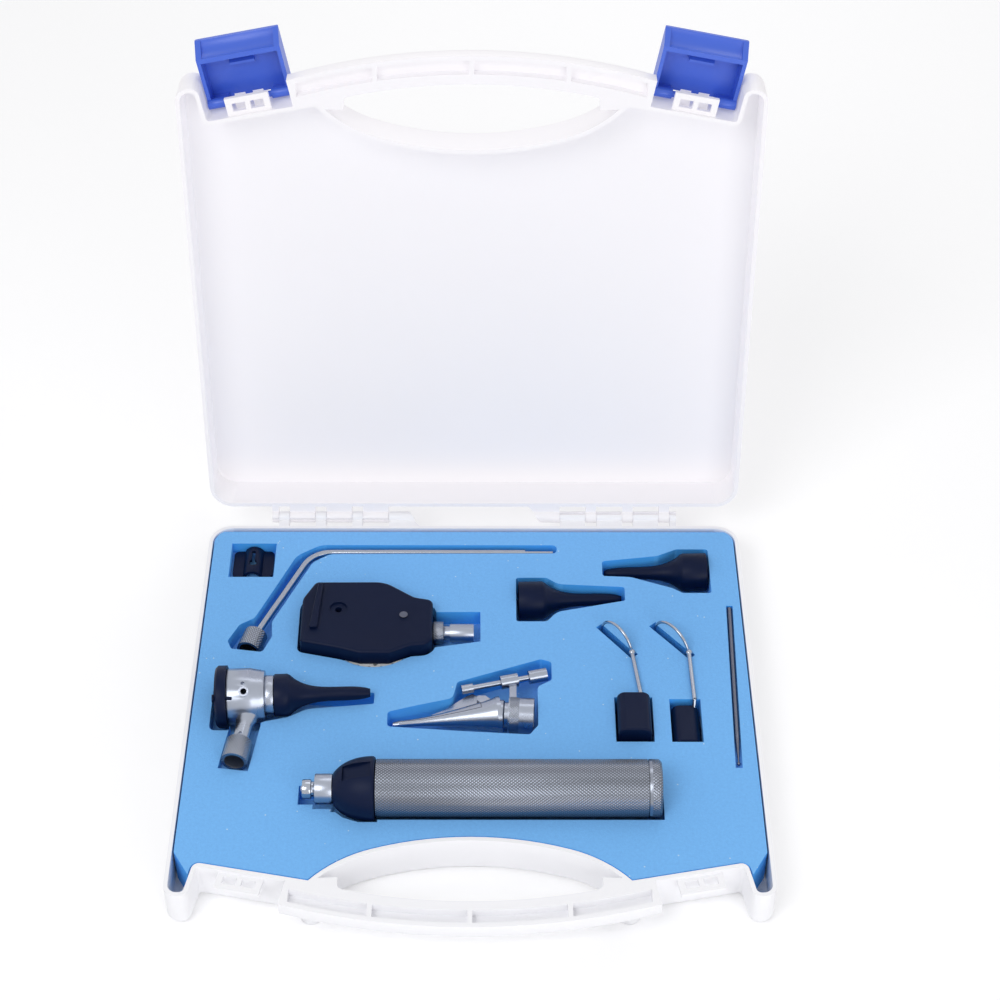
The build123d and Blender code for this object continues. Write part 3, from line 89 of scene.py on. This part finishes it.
WHITE = (1, 1, 1, 1)
WORLD_LIGHT = 0.58  # strength on the object; the background itself is 1
FLOOR_TONE, FLOOR_GLOW = (0.9, 0.9, 0.91, 1), 0.17
FLOOR_SIZE, FLOOR_Z = 6, -0.0002
LAMPS = (  # name, place, size and power
    ("key", (-0.55, -0.75, 1.15), 0.7, 5.5),
    ("fill", (0.6, -1.15, 0.45), 0.8, 4.5),
    ("back", (0.1, 0.9, 1.0), 0.8, 2.8),
)
LAMP_AIM = (0, 0.03, 0.05)
CAMERA_PLACE = (0.0114, -0.71155, 0.831)
CAMERA_TURN, CAMERA_DOWN, CAMERA_ROLL = -0.15, 43.58, 0.16  # degrees
CAMERA_SENSOR, CAMERA_LENS = 36, 79.2  # millimetres


# ------------------------------------------------------------------ settings
def colour(name, about, default):
    return FloatVectorProperty(
        name=name, description=about, default=default, subtype="COLOR", min=0.0, max=1.0
    )


def length(name, about, default):
    return FloatProperty(name=name, description=about, default=default, unit="LENGTH", min=0.0)


class CaseFinishes(PropertyGroup):
    """Colours of the case, its foam and the instruments."""

    shell: colour("Base shell", "Natural white of the base half", (0.92, 0.92, 0.95))
    lid: colour("Lid", "Frosted lid, palest lavender", (0.72, 0.705, 0.72))
    latch: colour("Latches", "Royal blue of the two snap latches", (0.055, 0.135, 0.66))
    foam: colour("Foam", "Sky blue of the foam", (0.19, 0.485, 0.97))
    black: colour("Black plastic", "Moulded instrument bodies", (0.002, 0.007, 0.032))
    metal: colour("Satin metal", "Plated instrument tubes", (0.355, 0.385, 0.455))


class CaseSizes(PropertyGroup):
    """Small sizes of the finishing work."""

    edge: length("Edge radius", "Radius broken on moulded edges", 0.0004)
    foam_edge: length("Foam edge", "Soft radius of the cut foam edges", 0.0007)
    knurl: length("Knurl pitch", "Spacing of the diamond knurl", 0.0018)


# ------------------------------------------------------------------ shader groups
def group(name, inputs, outputs):
    """A new shader node group with the named inputs and outputs, and its two end nodes."""
    tree = bpy.data.node_groups.new(name, "ShaderNodeTree")
    for label, kind, value in inputs:
        socket = tree.interface.new_socket(name=label, in_out="INPUT", socket_type=kind)
        if value is not None:
            socket.default_value = value
    for label, kind in outputs:
        tree.interface.new_socket(name=label, in_out="OUTPUT", socket_type=kind)
    return tree, tree.nodes.new("NodeGroupInput"), tree.nodes.new("NodeGroupOutput")


def maths(tree, operation, first, second=None):
    """A Math node whose inputs are numbers or sockets."""
    node = tree.nodes.new("ShaderNodeMath")
    node.operation = operation
    for slot, value in enumerate((first, second)):
        if isinstance(value, (int, float)):
            node.inputs[slot].default_value = value
        elif value is not None:
            tree.links.new(value, node.inputs[slot])
    return node.outputs[0]


def mix(tree, first, second, factor, mode="MIX"):
    """A colour Mix node whose inputs are colours, numbers or sockets."""
    node = tree.nodes.new("ShaderNodeMix")
    node.data_type = "RGBA"
    node.blend_type = mode
    for slot, value in (("A", first), ("B", second), ("Factor", factor)):
        if isinstance(value, (tuple, float)):
            node.inputs[slot].default_value = value
        else:
            tree.links.new(value, node.inputs[slot])
    return node.outputs["Result"]


def emboss(tree, height, strength, distance):
    """A Bump node fed with a height."""
    node = tree.nodes.new("ShaderNodeBump")
    node.inputs["Strength"].default_value = strength
    node.inputs["Distance"].default_value = distance
    tree.links.new(height, node.inputs["Height"])
    return node


def background_rays(tree):
    """1 for the rays that show the background: to the eye, in gloss and through glass."""
    path = tree.nodes.new("ShaderNodeLightPath")
    seen = maths(tree, "MAXIMUM", path.outputs["Is Camera Ray"], path.outputs["Is Glossy Ray"])
    return maths(tree, "MAXIMUM", seen, path.outputs["Is Transmission Ray"])


def tinted(base, *factors):
    """The colour with its channels scaled and held under 1."""
    scale = factors * 3 if len(factors) == 1 else factors
    return (*[min(c * f, 1) for c, f in zip(base, scale)], 1)


def moulded_grain():
    """Faint mottling and a fine spark texture, as on moulded plastic."""
    tree, start, end = group(
        "Moulded grain",
        [("Vector", "NodeSocketVector", None), ("Grain", "NodeSocketFloat", 1800.0)],
        [("Tone", "NodeSocketFloat"), ("Height", "NodeSocketFloat")],
    )
    cloud = tree.nodes.new("ShaderNodeTexNoise")
    cloud.inputs["Scale"].default_value = 22.0
    cloud.inputs["Detail"].default_value = 4.0
    grit = tree.nodes.new("ShaderNodeTexNoise")
    grit.inputs["Detail"].default_value = 2.0
    tree.links.new(start.outputs["Vector"], cloud.inputs["Vector"])
    tree.links.new(start.outputs["Vector"], grit.inputs["Vector"])
    tree.links.new(start.outputs["Grain"], grit.inputs["Scale"])
    tree.links.new(cloud.outputs["Fac"], end.inputs["Tone"])
    tree.links.new(grit.outputs["Fac"], end.inputs["Height"])
    return tree


def foam_cells():
    """Fine closed cells, a soft mottling and a few pale specks."""
    tree, start, end = group(
        "Foam cells",
        [("Vector", "NodeSocketVector", None), ("Cell", "NodeSocketFloat", 1500.0)],
        [("Tone", "NodeSocketFloat"), ("Height", "NodeSocketFloat"), ("Specks", "NodeSocketFloat")],
    )
    cells = tree.nodes.new("ShaderNodeTexVoronoi")
    tree.links.new(start.outputs["Vector"], cells.inputs["Vector"])
    tree.links.new(start.outputs["Cell"], cells.inputs["Scale"])
    cloud = tree.nodes.new("ShaderNodeTexNoise")
    cloud.inputs["Scale"].default_value = 650.0
    cloud.inputs["Detail"].default_value = 3.0
    cloud.inputs["Roughness"].default_value = 0.7
    tree.links.new(start.outputs["Vector"], cloud.inputs["Vector"])
    dots = tree.nodes.new("ShaderNodeTexVoronoi")
    dots.inputs["Scale"].default_value = 130.0
    tree.links.new(start.outputs["Vector"], dots.inputs["Vector"])
    near = maths(tree, "LESS_THAN", dots.outputs["Distance"], 0.055)
    tree.links.new(cloud.outputs["Fac"], end.inputs["Tone"])
    tree.links.new(cells.outputs["Distance"], end.inputs["Height"])
    tree.links.new(near, end.inputs["Specks"])
    return tree


def diamond_knurl():
    """Crossed helical grooves round X, between two places along it and as far out as the reach."""
    tree, start, end = group(
        "Diamond knurl",
        [
            ("Vector", "NodeSocketVector", None),
            ("Around", "NodeSocketFloat", 60.0),
            ("Along", "NodeSocketFloat", 700.0),
            ("From", "NodeSocketFloat", -1.0),
            ("To", "NodeSocketFloat", 1.0),
            ("Reach", "NodeSocketFloat", 1.0),
        ],
        [("Height", "NodeSocketFloat"), ("Shade", "NodeSocketFloat")],
    )
    split = tree.nodes.new("ShaderNodeSeparateXYZ")
    tree.links.new(start.outputs["Vector"], split.inputs[0])
    angle = maths(tree, "ARCTAN2", split.outputs[2], split.outputs[1])
    turns = maths(tree, "MULTIPLY", maths(tree, "DIVIDE", angle, 2 * pi), start.outputs["Around"])
    run = maths(tree, "MULTIPLY", split.outputs[0], start.outputs["Along"])
    ridges = []
    for operation in ("ADD", "SUBTRACT"):
        ramp = maths(tree, "FRACT", maths(tree, operation, turns, run))
        ridges.append(maths(tree, "ABSOLUTE", maths(tree, "SUBTRACT", ramp, 0.5)))
    peak = maths(tree, "SUBTRACT", 0.5, maths(tree, "MAXIMUM", ridges[0], ridges[1]))
    above = maths(tree, "GREATER_THAN", split.outputs[0], start.outputs["From"])
    below = maths(tree, "LESS_THAN", split.outputs[0], start.outputs["To"])
    band = maths(tree, "MULTIPLY", above, below)
    reach = maths(tree, "MULTIPLY", start.outputs["Reach"], start.outputs["Reach"])
    across = maths(tree, "MULTIPLY", split.outputs[1], split.outputs[1])
    upward = maths(tree, "MULTIPLY", split.outputs[2], split.outputs[2])
    near = maths(tree, "LESS_THAN", maths(tree, "ADD", across, upward), reach)
    band = maths(tree, "MULTIPLY", band, near)
    tree.links.new(maths(tree, "MULTIPLY", peak, band), end.inputs["Height"])
    # Painted shade: the grooves are painted darker than the crests, as shade falls in them.
    crest = tree.nodes.new("ShaderNodeMapRange")
    crest.inputs["From Max"].default_value = 0.3
    crest.inputs["To Min"].default_value = 0.35
    tree.links.new(peak, crest.inputs["Value"])
    plain = maths(tree, "SUBTRACT", 1.0, band)
    tree.links.new(maths(tree, "MAXIMUM", crest.outputs["Result"], plain), end.inputs["Shade"])
    return tree


def coat(name, base, rough, metallic=0.0, spread=0.06, bump=0.05, grain=1800.0, **sockets):
    """A moulded or plated finish: the grain group drives its tone, gloss and fine relief."""
    made = bpy.data.materials.new(name)
    made.use_nodes = True
    tree = made.node_tree
    shader = tree.nodes["Principled BSDF"]
    shader.inputs["Metallic"].default_value = metallic
    for socket, value in sockets.items():
        label = socket.replace("_", " ").title().replace("Ior", "IOR")
        shader.inputs[label].default_value = value
    place = tree.nodes.new("ShaderNodeTexCoord")
    texture = tree.nodes.new("ShaderNodeGroup")
    texture.node_tree = bpy.data.node_groups["Moulded grain"]
    texture.inputs["Grain"].default_value = grain
    tree.links.new(place.outputs["Object"], texture.inputs["Vector"])
    low, high = tinted(base, 1 - spread), tinted(base, 1 + spread)
    shade = mix(tree, low, high, texture.outputs["Tone"])
    tree.links.new(shade, shader.inputs["Base Color"])
    gloss = tree.nodes.new("ShaderNodeMapRange")
    gloss.inputs["To Min"].default_value = rough * 0.85
    gloss.inputs["To Max"].default_value = min(rough * 1.15, 1.0)
    tree.links.new(texture.outputs["Tone"], gloss.inputs["Value"])
    tree.links.new(gloss.outputs["Result"], shader.inputs["Roughness"])
    relief = emboss(tree, texture.outputs["Height"], bump, GRAIN_DEPTH)
    tree.links.new(relief.outputs["Normal"], shader.inputs["Normal"])
    return made


def knurled(name, base, rough, axis, pitch, band=WHOLE):
    """Plated metal with a band of diamond knurl round an axis."""
    centre, heading, around = axis
    made = coat(name, base, rough, metallic=1.0)
    tree = made.node_tree
    place = next(n for n in tree.nodes if n.bl_idname == "ShaderNodeTexCoord")
    turn = tree.nodes.new("ShaderNodeMapping")
    turn.vector_type = "TEXTURE"
    turn.inputs["Location"].default_value = centre
    turn.inputs["Rotation"].default_value = (0, 0, radians(heading))
    tree.links.new(place.outputs["Object"], turn.inputs["Vector"])
    pattern = tree.nodes.new("ShaderNodeGroup")
    pattern.node_tree = bpy.data.node_groups["Diamond knurl"]
    pattern.inputs["Around"].default_value = around
    pattern.inputs["Along"].default_value = 1 / pitch
    for socket, value in zip(("From", "To", "Reach"), band):
        pattern.inputs[socket].default_value = value
    tree.links.new(turn.outputs["Vector"], pattern.inputs["Vector"])
    fine = next(n for n in tree.nodes if n.bl_idname == "ShaderNodeBump")
    relief = emboss(tree, pattern.outputs["Height"], 1.0, KNURL_DEPTH)
    tree.links.new(relief.outputs["Normal"], fine.inputs["Normal"])
    shader = tree.nodes["Principled BSDF"]
    plain = shader.inputs["Base Color"].links[0].from_socket
    # Painted shade: the knurl's grooves darken the base colour.
    painted_groove_shade = mix(tree, plain, pattern.outputs["Shade"], 1.0, "MULTIPLY")
    tree.links.new(painted_groove_shade, shader.inputs["Base Color"])
    return made


def foam_finish(name, base):
    """Soft closed-cell foam."""
    made = bpy.data.materials.new(name)
    made.use_nodes = True
    tree = made.node_tree
    shader = tree.nodes["Principled BSDF"]
    shader.inputs["Roughness"].default_value = 0.95
    shader.inputs["Specular IOR Level"].default_value = 0.15
    shader.inputs["Sheen Weight"].default_value = 0.08
    place = tree.nodes.new("ShaderNodeTexCoord")
    texture = tree.nodes.new("ShaderNodeGroup")
    texture.node_tree = bpy.data.node_groups["Foam cells"]
    tree.links.new(place.outputs["Object"], texture.inputs["Vector"])
    skin = mix(tree, tinted(base, 0.86), tinted(base, 1.14), texture.outputs["Tone"])
    specks = maths(tree, "MULTIPLY", texture.outputs["Specks"], 0.6)
    skin = mix(tree, skin, SPECK, specks)
    # Painted shade: the cut walls, which face sideways, are painted a darker, deeper blue than the
    # upward skin, standing in for the shade in the pockets and for light soaking through the foam.
    faces = tree.nodes.new("ShaderNodeNewGeometry")
    upright = tree.nodes.new("ShaderNodeSeparateXYZ")
    tree.links.new(faces.outputs["Normal"], upright.inputs[0])
    skin_over_painted_shade = maths(tree, "MAXIMUM", upright.outputs[2], 0.0)
    shade = mix(tree, tinted(base, 0.35, 0.85, 1.15), skin, skin_over_painted_shade)
    tree.links.new(shade, shader.inputs["Base Color"])
    relief = emboss(tree, texture.outputs["Height"], 0.35, FOAM_DEPTH)
    tree.links.new(relief.outputs["Normal"], shader.inputs["Normal"])
    return made


# ------------------------------------------------------------------ mesh helpers
def node(name):
    """The CAD piece of that name."""
    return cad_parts[name]


def paint(finish, *objects):
    """Gives the objects one finish."""
    for obj in objects:
        obj.data.materials.clear()
        obj.data.materials.append(finish)


def soften(obj, radius):
    """Breaks the sharp edges of a rigid CAD piece with live modifiers."""
    weld = obj.modifiers.new("Join facets", "WELD")
    weld.merge_threshold = WELD
    bevel = obj.modifiers.new("Broken edges", "BEVEL")
    bevel.width = radius
    bevel.segments = MOULD_SEGMENTS
    bevel.limit_method = "ANGLE"
    bevel.angle_limit = radians(MOULD_ANGLE)
    bevel.use_clamp_overlap = True


def only(obj):
    """Makes obj the one selected and active object."""
    bpy.ops.object.select_all(action="DESELECT")
    obj.select_set(True)
    bpy.context.view_layer.objects.active = obj


def settings():
    """The scene's colours and sizes."""
    return bpy.context.scene.case_finishes, bpy.context.scene.case_sizes


# ------------------------------------------------------------------ operators
class CASE_OT_textures(Operator):
    """Builds the shared shader groups"""

    bl_idname = "case.textures"
    bl_label = "Shared textures"

    def execute(self, context):
        moulded_grain()
        foam_cells()
        diamond_knurl()
        return {"FINISHED"}


class CASE_OT_shells(Operator):
    """Finishes the opaque base and the frosted lid"""

    bl_idname = "case.shells"
    bl_label = "Case halves"

    def execute(self, context):
        looks, sizes = settings()
        white = coat("White polypropylene", looks.shell, 0.38, spread=0.012)
        frosted = coat("Frosted polypropylene", looks.lid, 0.42, spread=0.010)
        # Painted light: the frosted half is given a faint glow of its own, standing in for the
        # light that passes through it.
        shader = frosted.node_tree.nodes["Principled BSDF"]
        shader.inputs["Emission Color"].default_value = LID_PAINTED_GLOW
        shader.inputs["Emission Strength"].default_value = LID_PAINTED_GLOW_STRENGTH
        paint(white, node("base_shell"))
        paint(frosted, node("lid_shell"))
        for name in ("base_shell", "lid_shell"):
            soften(node(name), sizes.edge)
        return {"FINISHED"}


class CASE_OT_latches(Operator):
    """Finishes the two snap latches"""

    bl_idname = "case.latches"
    bl_label = "Latches"

    def execute(self, context):
        looks, sizes = settings()
        blue = coat("Royal blue plastic", looks.latch, 0.33, spread=0.04)
        paint(blue, node("latch_left"), node("latch_right"))
        for name in ("latch_left", "latch_right"):
            soften(node(name), sizes.edge)
        return {"FINISHED"}


class CASE_OT_foam(Operator):
    """Makes the soft foam tray"""

    bl_idname = "case.foam"
    bl_label = "Foam"

    def execute(self, context):
        looks, sizes = settings()
        only(node("foam_tray"))
        bpy.ops.object.duplicate()
        block = context.active_object
        block.name = "foam_block"
        for key in list(block.keys()):
            del block[key]
        block.parent = None
        bpy.ops.object.mode_set(mode="EDIT")
        bpy.ops.mesh.select_all(action="SELECT")
        bpy.ops.mesh.remove_doubles(threshold=WELD)
        bpy.ops.mesh.dissolve_limited(angle_limit=radians(FACET))
        bpy.ops.object.mode_set(mode="OBJECT")
        rounding = block.modifiers.new("Cut edges", "BEVEL")
        rounding.width = sizes.foam_edge
        rounding.segments = FOAM_SEGMENTS
        rounding.limit_method = "ANGLE"
        rounding.angle_limit = radians(FOAM_ANGLE)
        bpy.ops.object.modifier_apply(modifier="Cut edges")
        paint(foam_finish("Sky blue foam", looks.foam), block)
        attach(block, "base")
        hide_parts("foam_tray")
        return {"FINISHED"}


class CASE_OT_battery_handle(Operator):
    """Finishes the battery handle and its switch neck"""

    bl_idname = "case.battery_handle"
    bl_label = "Battery handle"

    def execute(self, context):
        looks, sizes = settings()
        grey = [HANDLE_TONE * c for c in looks.metal]
        tube = knurled("Knurled handle tube", grey, KNURL_ROUGH, HANDLE_KNURL, sizes.knurl)
        cap = knurled("Knurled end cap", grey, KNURL_ROUGH, HANDLE_KNURL, sizes.knurl, CAP_BAND)
        paint(tube, node("handle_tube"))
        paint(cap, node("end_cap"))
        black = coat("Black moulding", looks.black, 0.40, spread=0.2, specular_ior_level=0.13)
        paint(black, node("handle_neck"))
        paint(coat("Satin plating", looks.metal, 0.27, metallic=1.0), node("handle_collar"))
        bright = coat("Bright plating", BRIGHT, 0.14, metallic=1.0)
        paint(bright, node("handle_bayonet"), node("contact_pin"), node("battery_spring"))
        sleeve = coat("Cell sleeve", CELL_SLEEVE, 0.4)
        paint(sleeve, node("battery_front"), node("battery_rear"))
        for name in ("handle_neck", "handle_collar", "handle_bayonet", "end_cap", "handle_tube"):
            soften(node(name), sizes.edge)
        return {"FINISHED"}


class CASE_OT_otoscope(Operator):
    """Finishes the otoscope head"""

    bl_idname = "case.otoscope"
    bl_label = "Otoscope"

    def execute(self, context):
        looks, sizes = settings()
        satin = bpy.data.materials["Satin plating"]
        black = bpy.data.materials["Black moulding"]
        paint(satin, node("otoscope_body"), node("otoscope_nose"))
        paint(black, node("lens_frame"), node("mounted_speculum"), node("otoscope_screw"))
        name = "Knurled otoscope socket"
        knurl = knurled(name, looks.metal, KNURL_ROUGH, OTOSCOPE_KNURL, sizes.knurl)
        paint(knurl, node("otoscope_socket"))
        clear = coat("Lens glass", GLASS, 0.03, bump=0.0, transmission_weight=1.0, ior=1.5)
        paint(clear, node("otoscope_lens"))
        softened = "otoscope_body lens_frame otoscope_nose mounted_speculum otoscope_socket"
        for name in softened.split():
            soften(node(name), sizes.edge)
        return {"FINISHED"}


class CASE_OT_ophthalmoscope(Operator):
    """Finishes the ophthalmoscope head and its lens wheel"""

    bl_idname = "case.ophthalmoscope"
    bl_label = "Ophthalmoscope"

    def execute(self, context):
        looks, sizes = settings()
        black = bpy.data.materials["Black moulding"]
        satin = bpy.data.materials["Satin plating"]
        paint(black, node("head_back"), node("head_front"), node("brow_rest"))
        paint(satin, node("head_connector"), node("wheel_axle"))
        # Painted shade: the screw in its pit is painted dark.
        paint(coat("Steel with painted shade", SHADE_PAINTED_STEEL, 0.25, metallic=1.0), node("head_screw"))
        ring = knurled("Knurled collar", looks.metal, KNURL_ROUGH, COLLAR_KNURL, sizes.knurl)
        paint(ring, node("head_collar"))
        paint(coat("White dial", DIAL_WHITE, 0.35), node("lens_wheel"))
        for name in ("head_back", "head_front", "brow_rest", "head_connector", "head_collar"):
            soften(node(name), sizes.edge)
        return {"FINISHED"}


class CASE_OT_nasal_speculum(Operator):
    """Finishes the nasal speculum"""

    bl_idname = "case.nasal_speculum"
    bl_label = "Nasal speculum"

    def execute(self, context):
        looks, _ = settings()
        satin = bpy.data.materials["Satin plating"]
        paint(satin, node("nasal_blade"), node("nasal_screw"))
        name = "Knurled nasal socket"
        socket = knurled(name, looks.metal, NASAL_ROUGH, NASAL_KNURL, NASAL_PITCH, NASAL_BAND)
        paint(socket, node("nasal_body"))
        return {"FINISHED"}


class CASE_OT_arm_illuminator(Operator):
    """Finishes the bent arm illuminator"""

    bl_idname = "case.arm_illuminator"
    bl_label = "Arm illuminator"

    def execute(self, context):
        looks, sizes = settings()
        bright = bpy.data.materials["Bright plating"]
        paint(bright, node("arm_tube"), node("arm_tip"))
        knurl = knurled("Knurled arm socket", looks.metal, KNURL_ROUGH, ARM_KNURL, sizes.knurl)
        paint(knurl, node("arm_socket"))
        return {"FINISHED"}


class CASE_OT_throat_mirrors(Operator):
    """Finishes the two throat mirrors and their holders"""

    bl_idname = "case.throat_mirrors"
    bl_label = "Throat mirrors"

    def execute(self, context):
        _, sizes = settings()
        bright = bpy.data.materials["Bright plating"]
        black = bpy.data.materials["Black moulding"]
        silver = coat("Silvered glass", SILVER, 0.03, metallic=1.0, bump=0.0)
        for count in ("1", "2"):
            paint(bright, node("mirror_frame_" + count))
            paint(silver, node("mirror_glass_" + count))
            paint(black, node("mirror_holder_" + count))
            soften(node("mirror_holder_" + count), sizes.edge)
        return {"FINISHED"}


class CASE_OT_small_pieces(Operator):
    """Finishes the loose specula, the clip and the applicator"""

    bl_idname = "case.small_pieces"
    bl_label = "Specula, clip and applicator"

    def execute(self, context):
        black = bpy.data.materials["Black moulding"]
        paint(black, node("speculum_1"), node("speculum_2"), node("clip"))
        # Painted reflection: the applicator's steel is painted dark, standing in for the dark it
        # reflects.
        paint(bpy.data.materials["Steel with painted shade"], node("applicator"))
        for name in ("speculum_1", "speculum_2", "clip"):
            soften(node(name), SMALL_EDGE)
        return {"FINISHED"}


class CASE_OT_studio(Operator):
    """Sets the floor, the light and the camera"""

    bl_idname = "case.studio"
    bl_label = "Studio"

    def execute(self, context):
        scene = context.scene
        scene.view_settings.view_transform = "Standard"
        world = bpy.data.worlds.new("Studio")
        scene.world = world
        world.use_nodes = True
        tree = world.node_tree
        plain = tree.nodes["Background"]
        plain.inputs["Color"].default_value = WHITE
        plain.inputs["Strength"].default_value = WORLD_LIGHT
        white = tree.nodes.new("ShaderNodeBackground")
        white.inputs["Color"].default_value = WHITE
        white.inputs["Strength"].default_value = 1.0
        blend = tree.nodes.new("ShaderNodeMixShader")
        tree.links.new(background_rays(tree), blend.inputs[0])
        tree.links.new(plain.outputs[0], blend.inputs[1])
        tree.links.new(white.outputs[0], blend.inputs[2])
        tree.links.new(blend.outputs[0], tree.nodes["World Output"].inputs["Surface"])

        bpy.ops.object.select_all(action="DESELECT")
        bpy.ops.mesh.primitive_plane_add(size=FLOOR_SIZE, location=(0, 0, FLOOR_Z))
        floor = context.active_object
        floor.name = "floor"
        pale = bpy.data.materials.new("Pale floor")
        pale.use_nodes = True
        tree = pale.node_tree
        shader = tree.nodes["Principled BSDF"]
        shader.inputs["Base Color"].default_value = FLOOR_TONE
        shader.inputs["Roughness"].default_value = 0.8
        # The floor is white to the eye and in reflections, and keeps the soft shadow.
        shader.inputs["Emission Color"].default_value = WHITE
        glow = maths(tree, "MULTIPLY", background_rays(tree), FLOOR_GLOW)
        tree.links.new(glow, shader.inputs["Emission Strength"])
        paint(pale, floor)

        for name, place, size, power in LAMPS:
            bpy.ops.object.light_add(type="AREA", location=place)
            lamp = context.active_object
            lamp.name = name
            lamp.data.size = size
            lamp.data.energy = power
            aim = Vector(LAMP_AIM) - Vector(place)
            lamp.rotation_euler = aim.to_track_quat("-Z", "Y").to_euler()

        bpy.ops.object.camera_add(location=CAMERA_PLACE)
        camera = context.active_object
        turn = Matrix.Rotation(radians(CAMERA_TURN), 3, "Z")
        turn = turn @ Matrix.Rotation(radians(90 - CAMERA_DOWN), 3, "X")
        turn = turn @ Matrix.Rotation(radians(CAMERA_ROLL), 3, "Z")
        camera.rotation_euler = turn.to_euler()
        camera.data.sensor_width = CAMERA_SENSOR
        camera.data.lens = CAMERA_LENS
        scene.camera = camera
        return {"FINISHED"}


STEPS = (
    CASE_OT_textures,
    CASE_OT_shells,
    CASE_OT_latches,
    CASE_OT_foam,
    CASE_OT_battery_handle,
    CASE_OT_otoscope,
    CASE_OT_ophthalmoscope,
    CASE_OT_nasal_speculum,
    CASE_OT_arm_illuminator,
    CASE_OT_throat_mirrors,
    CASE_OT_small_pieces,
    CASE_OT_studio,
)


class CASE_PT_panel(Panel):
    """Lists the case's settings and steps"""

    bl_label = "Carry case"
    bl_idname = "CASE_PT_panel"
    bl_space_type = "VIEW_3D"
    bl_region_type = "UI"
    bl_category = "Case"

    def draw(self, context):
        for settings_group in (context.scene.case_finishes, context.scene.case_sizes):
            for name in settings_group.__annotations__:
                self.layout.prop(settings_group, name)
        for step in STEPS:
            self.layout.operator(step.bl_idname)


CLASSES = (CaseFinishes, CaseSizes, *STEPS, CASE_PT_panel)


def register():
    for cls in CLASSES:
        bpy.utils.register_class(cls)
    bpy.types.Scene.case_finishes = PointerProperty(type=CaseFinishes)
    bpy.types.Scene.case_sizes = PointerProperty(type=CaseSizes)


def unregister():
    del bpy.types.Scene.case_sizes
    del bpy.types.Scene.case_finishes
    for cls in reversed(CLASSES):
        bpy.utils.unregister_class(cls)


def main():
    register()
    for step in STEPS:
        getattr(bpy.ops.case, step.bl_idname.split(".")[1])()


if __name__ == "__main__":
    main()
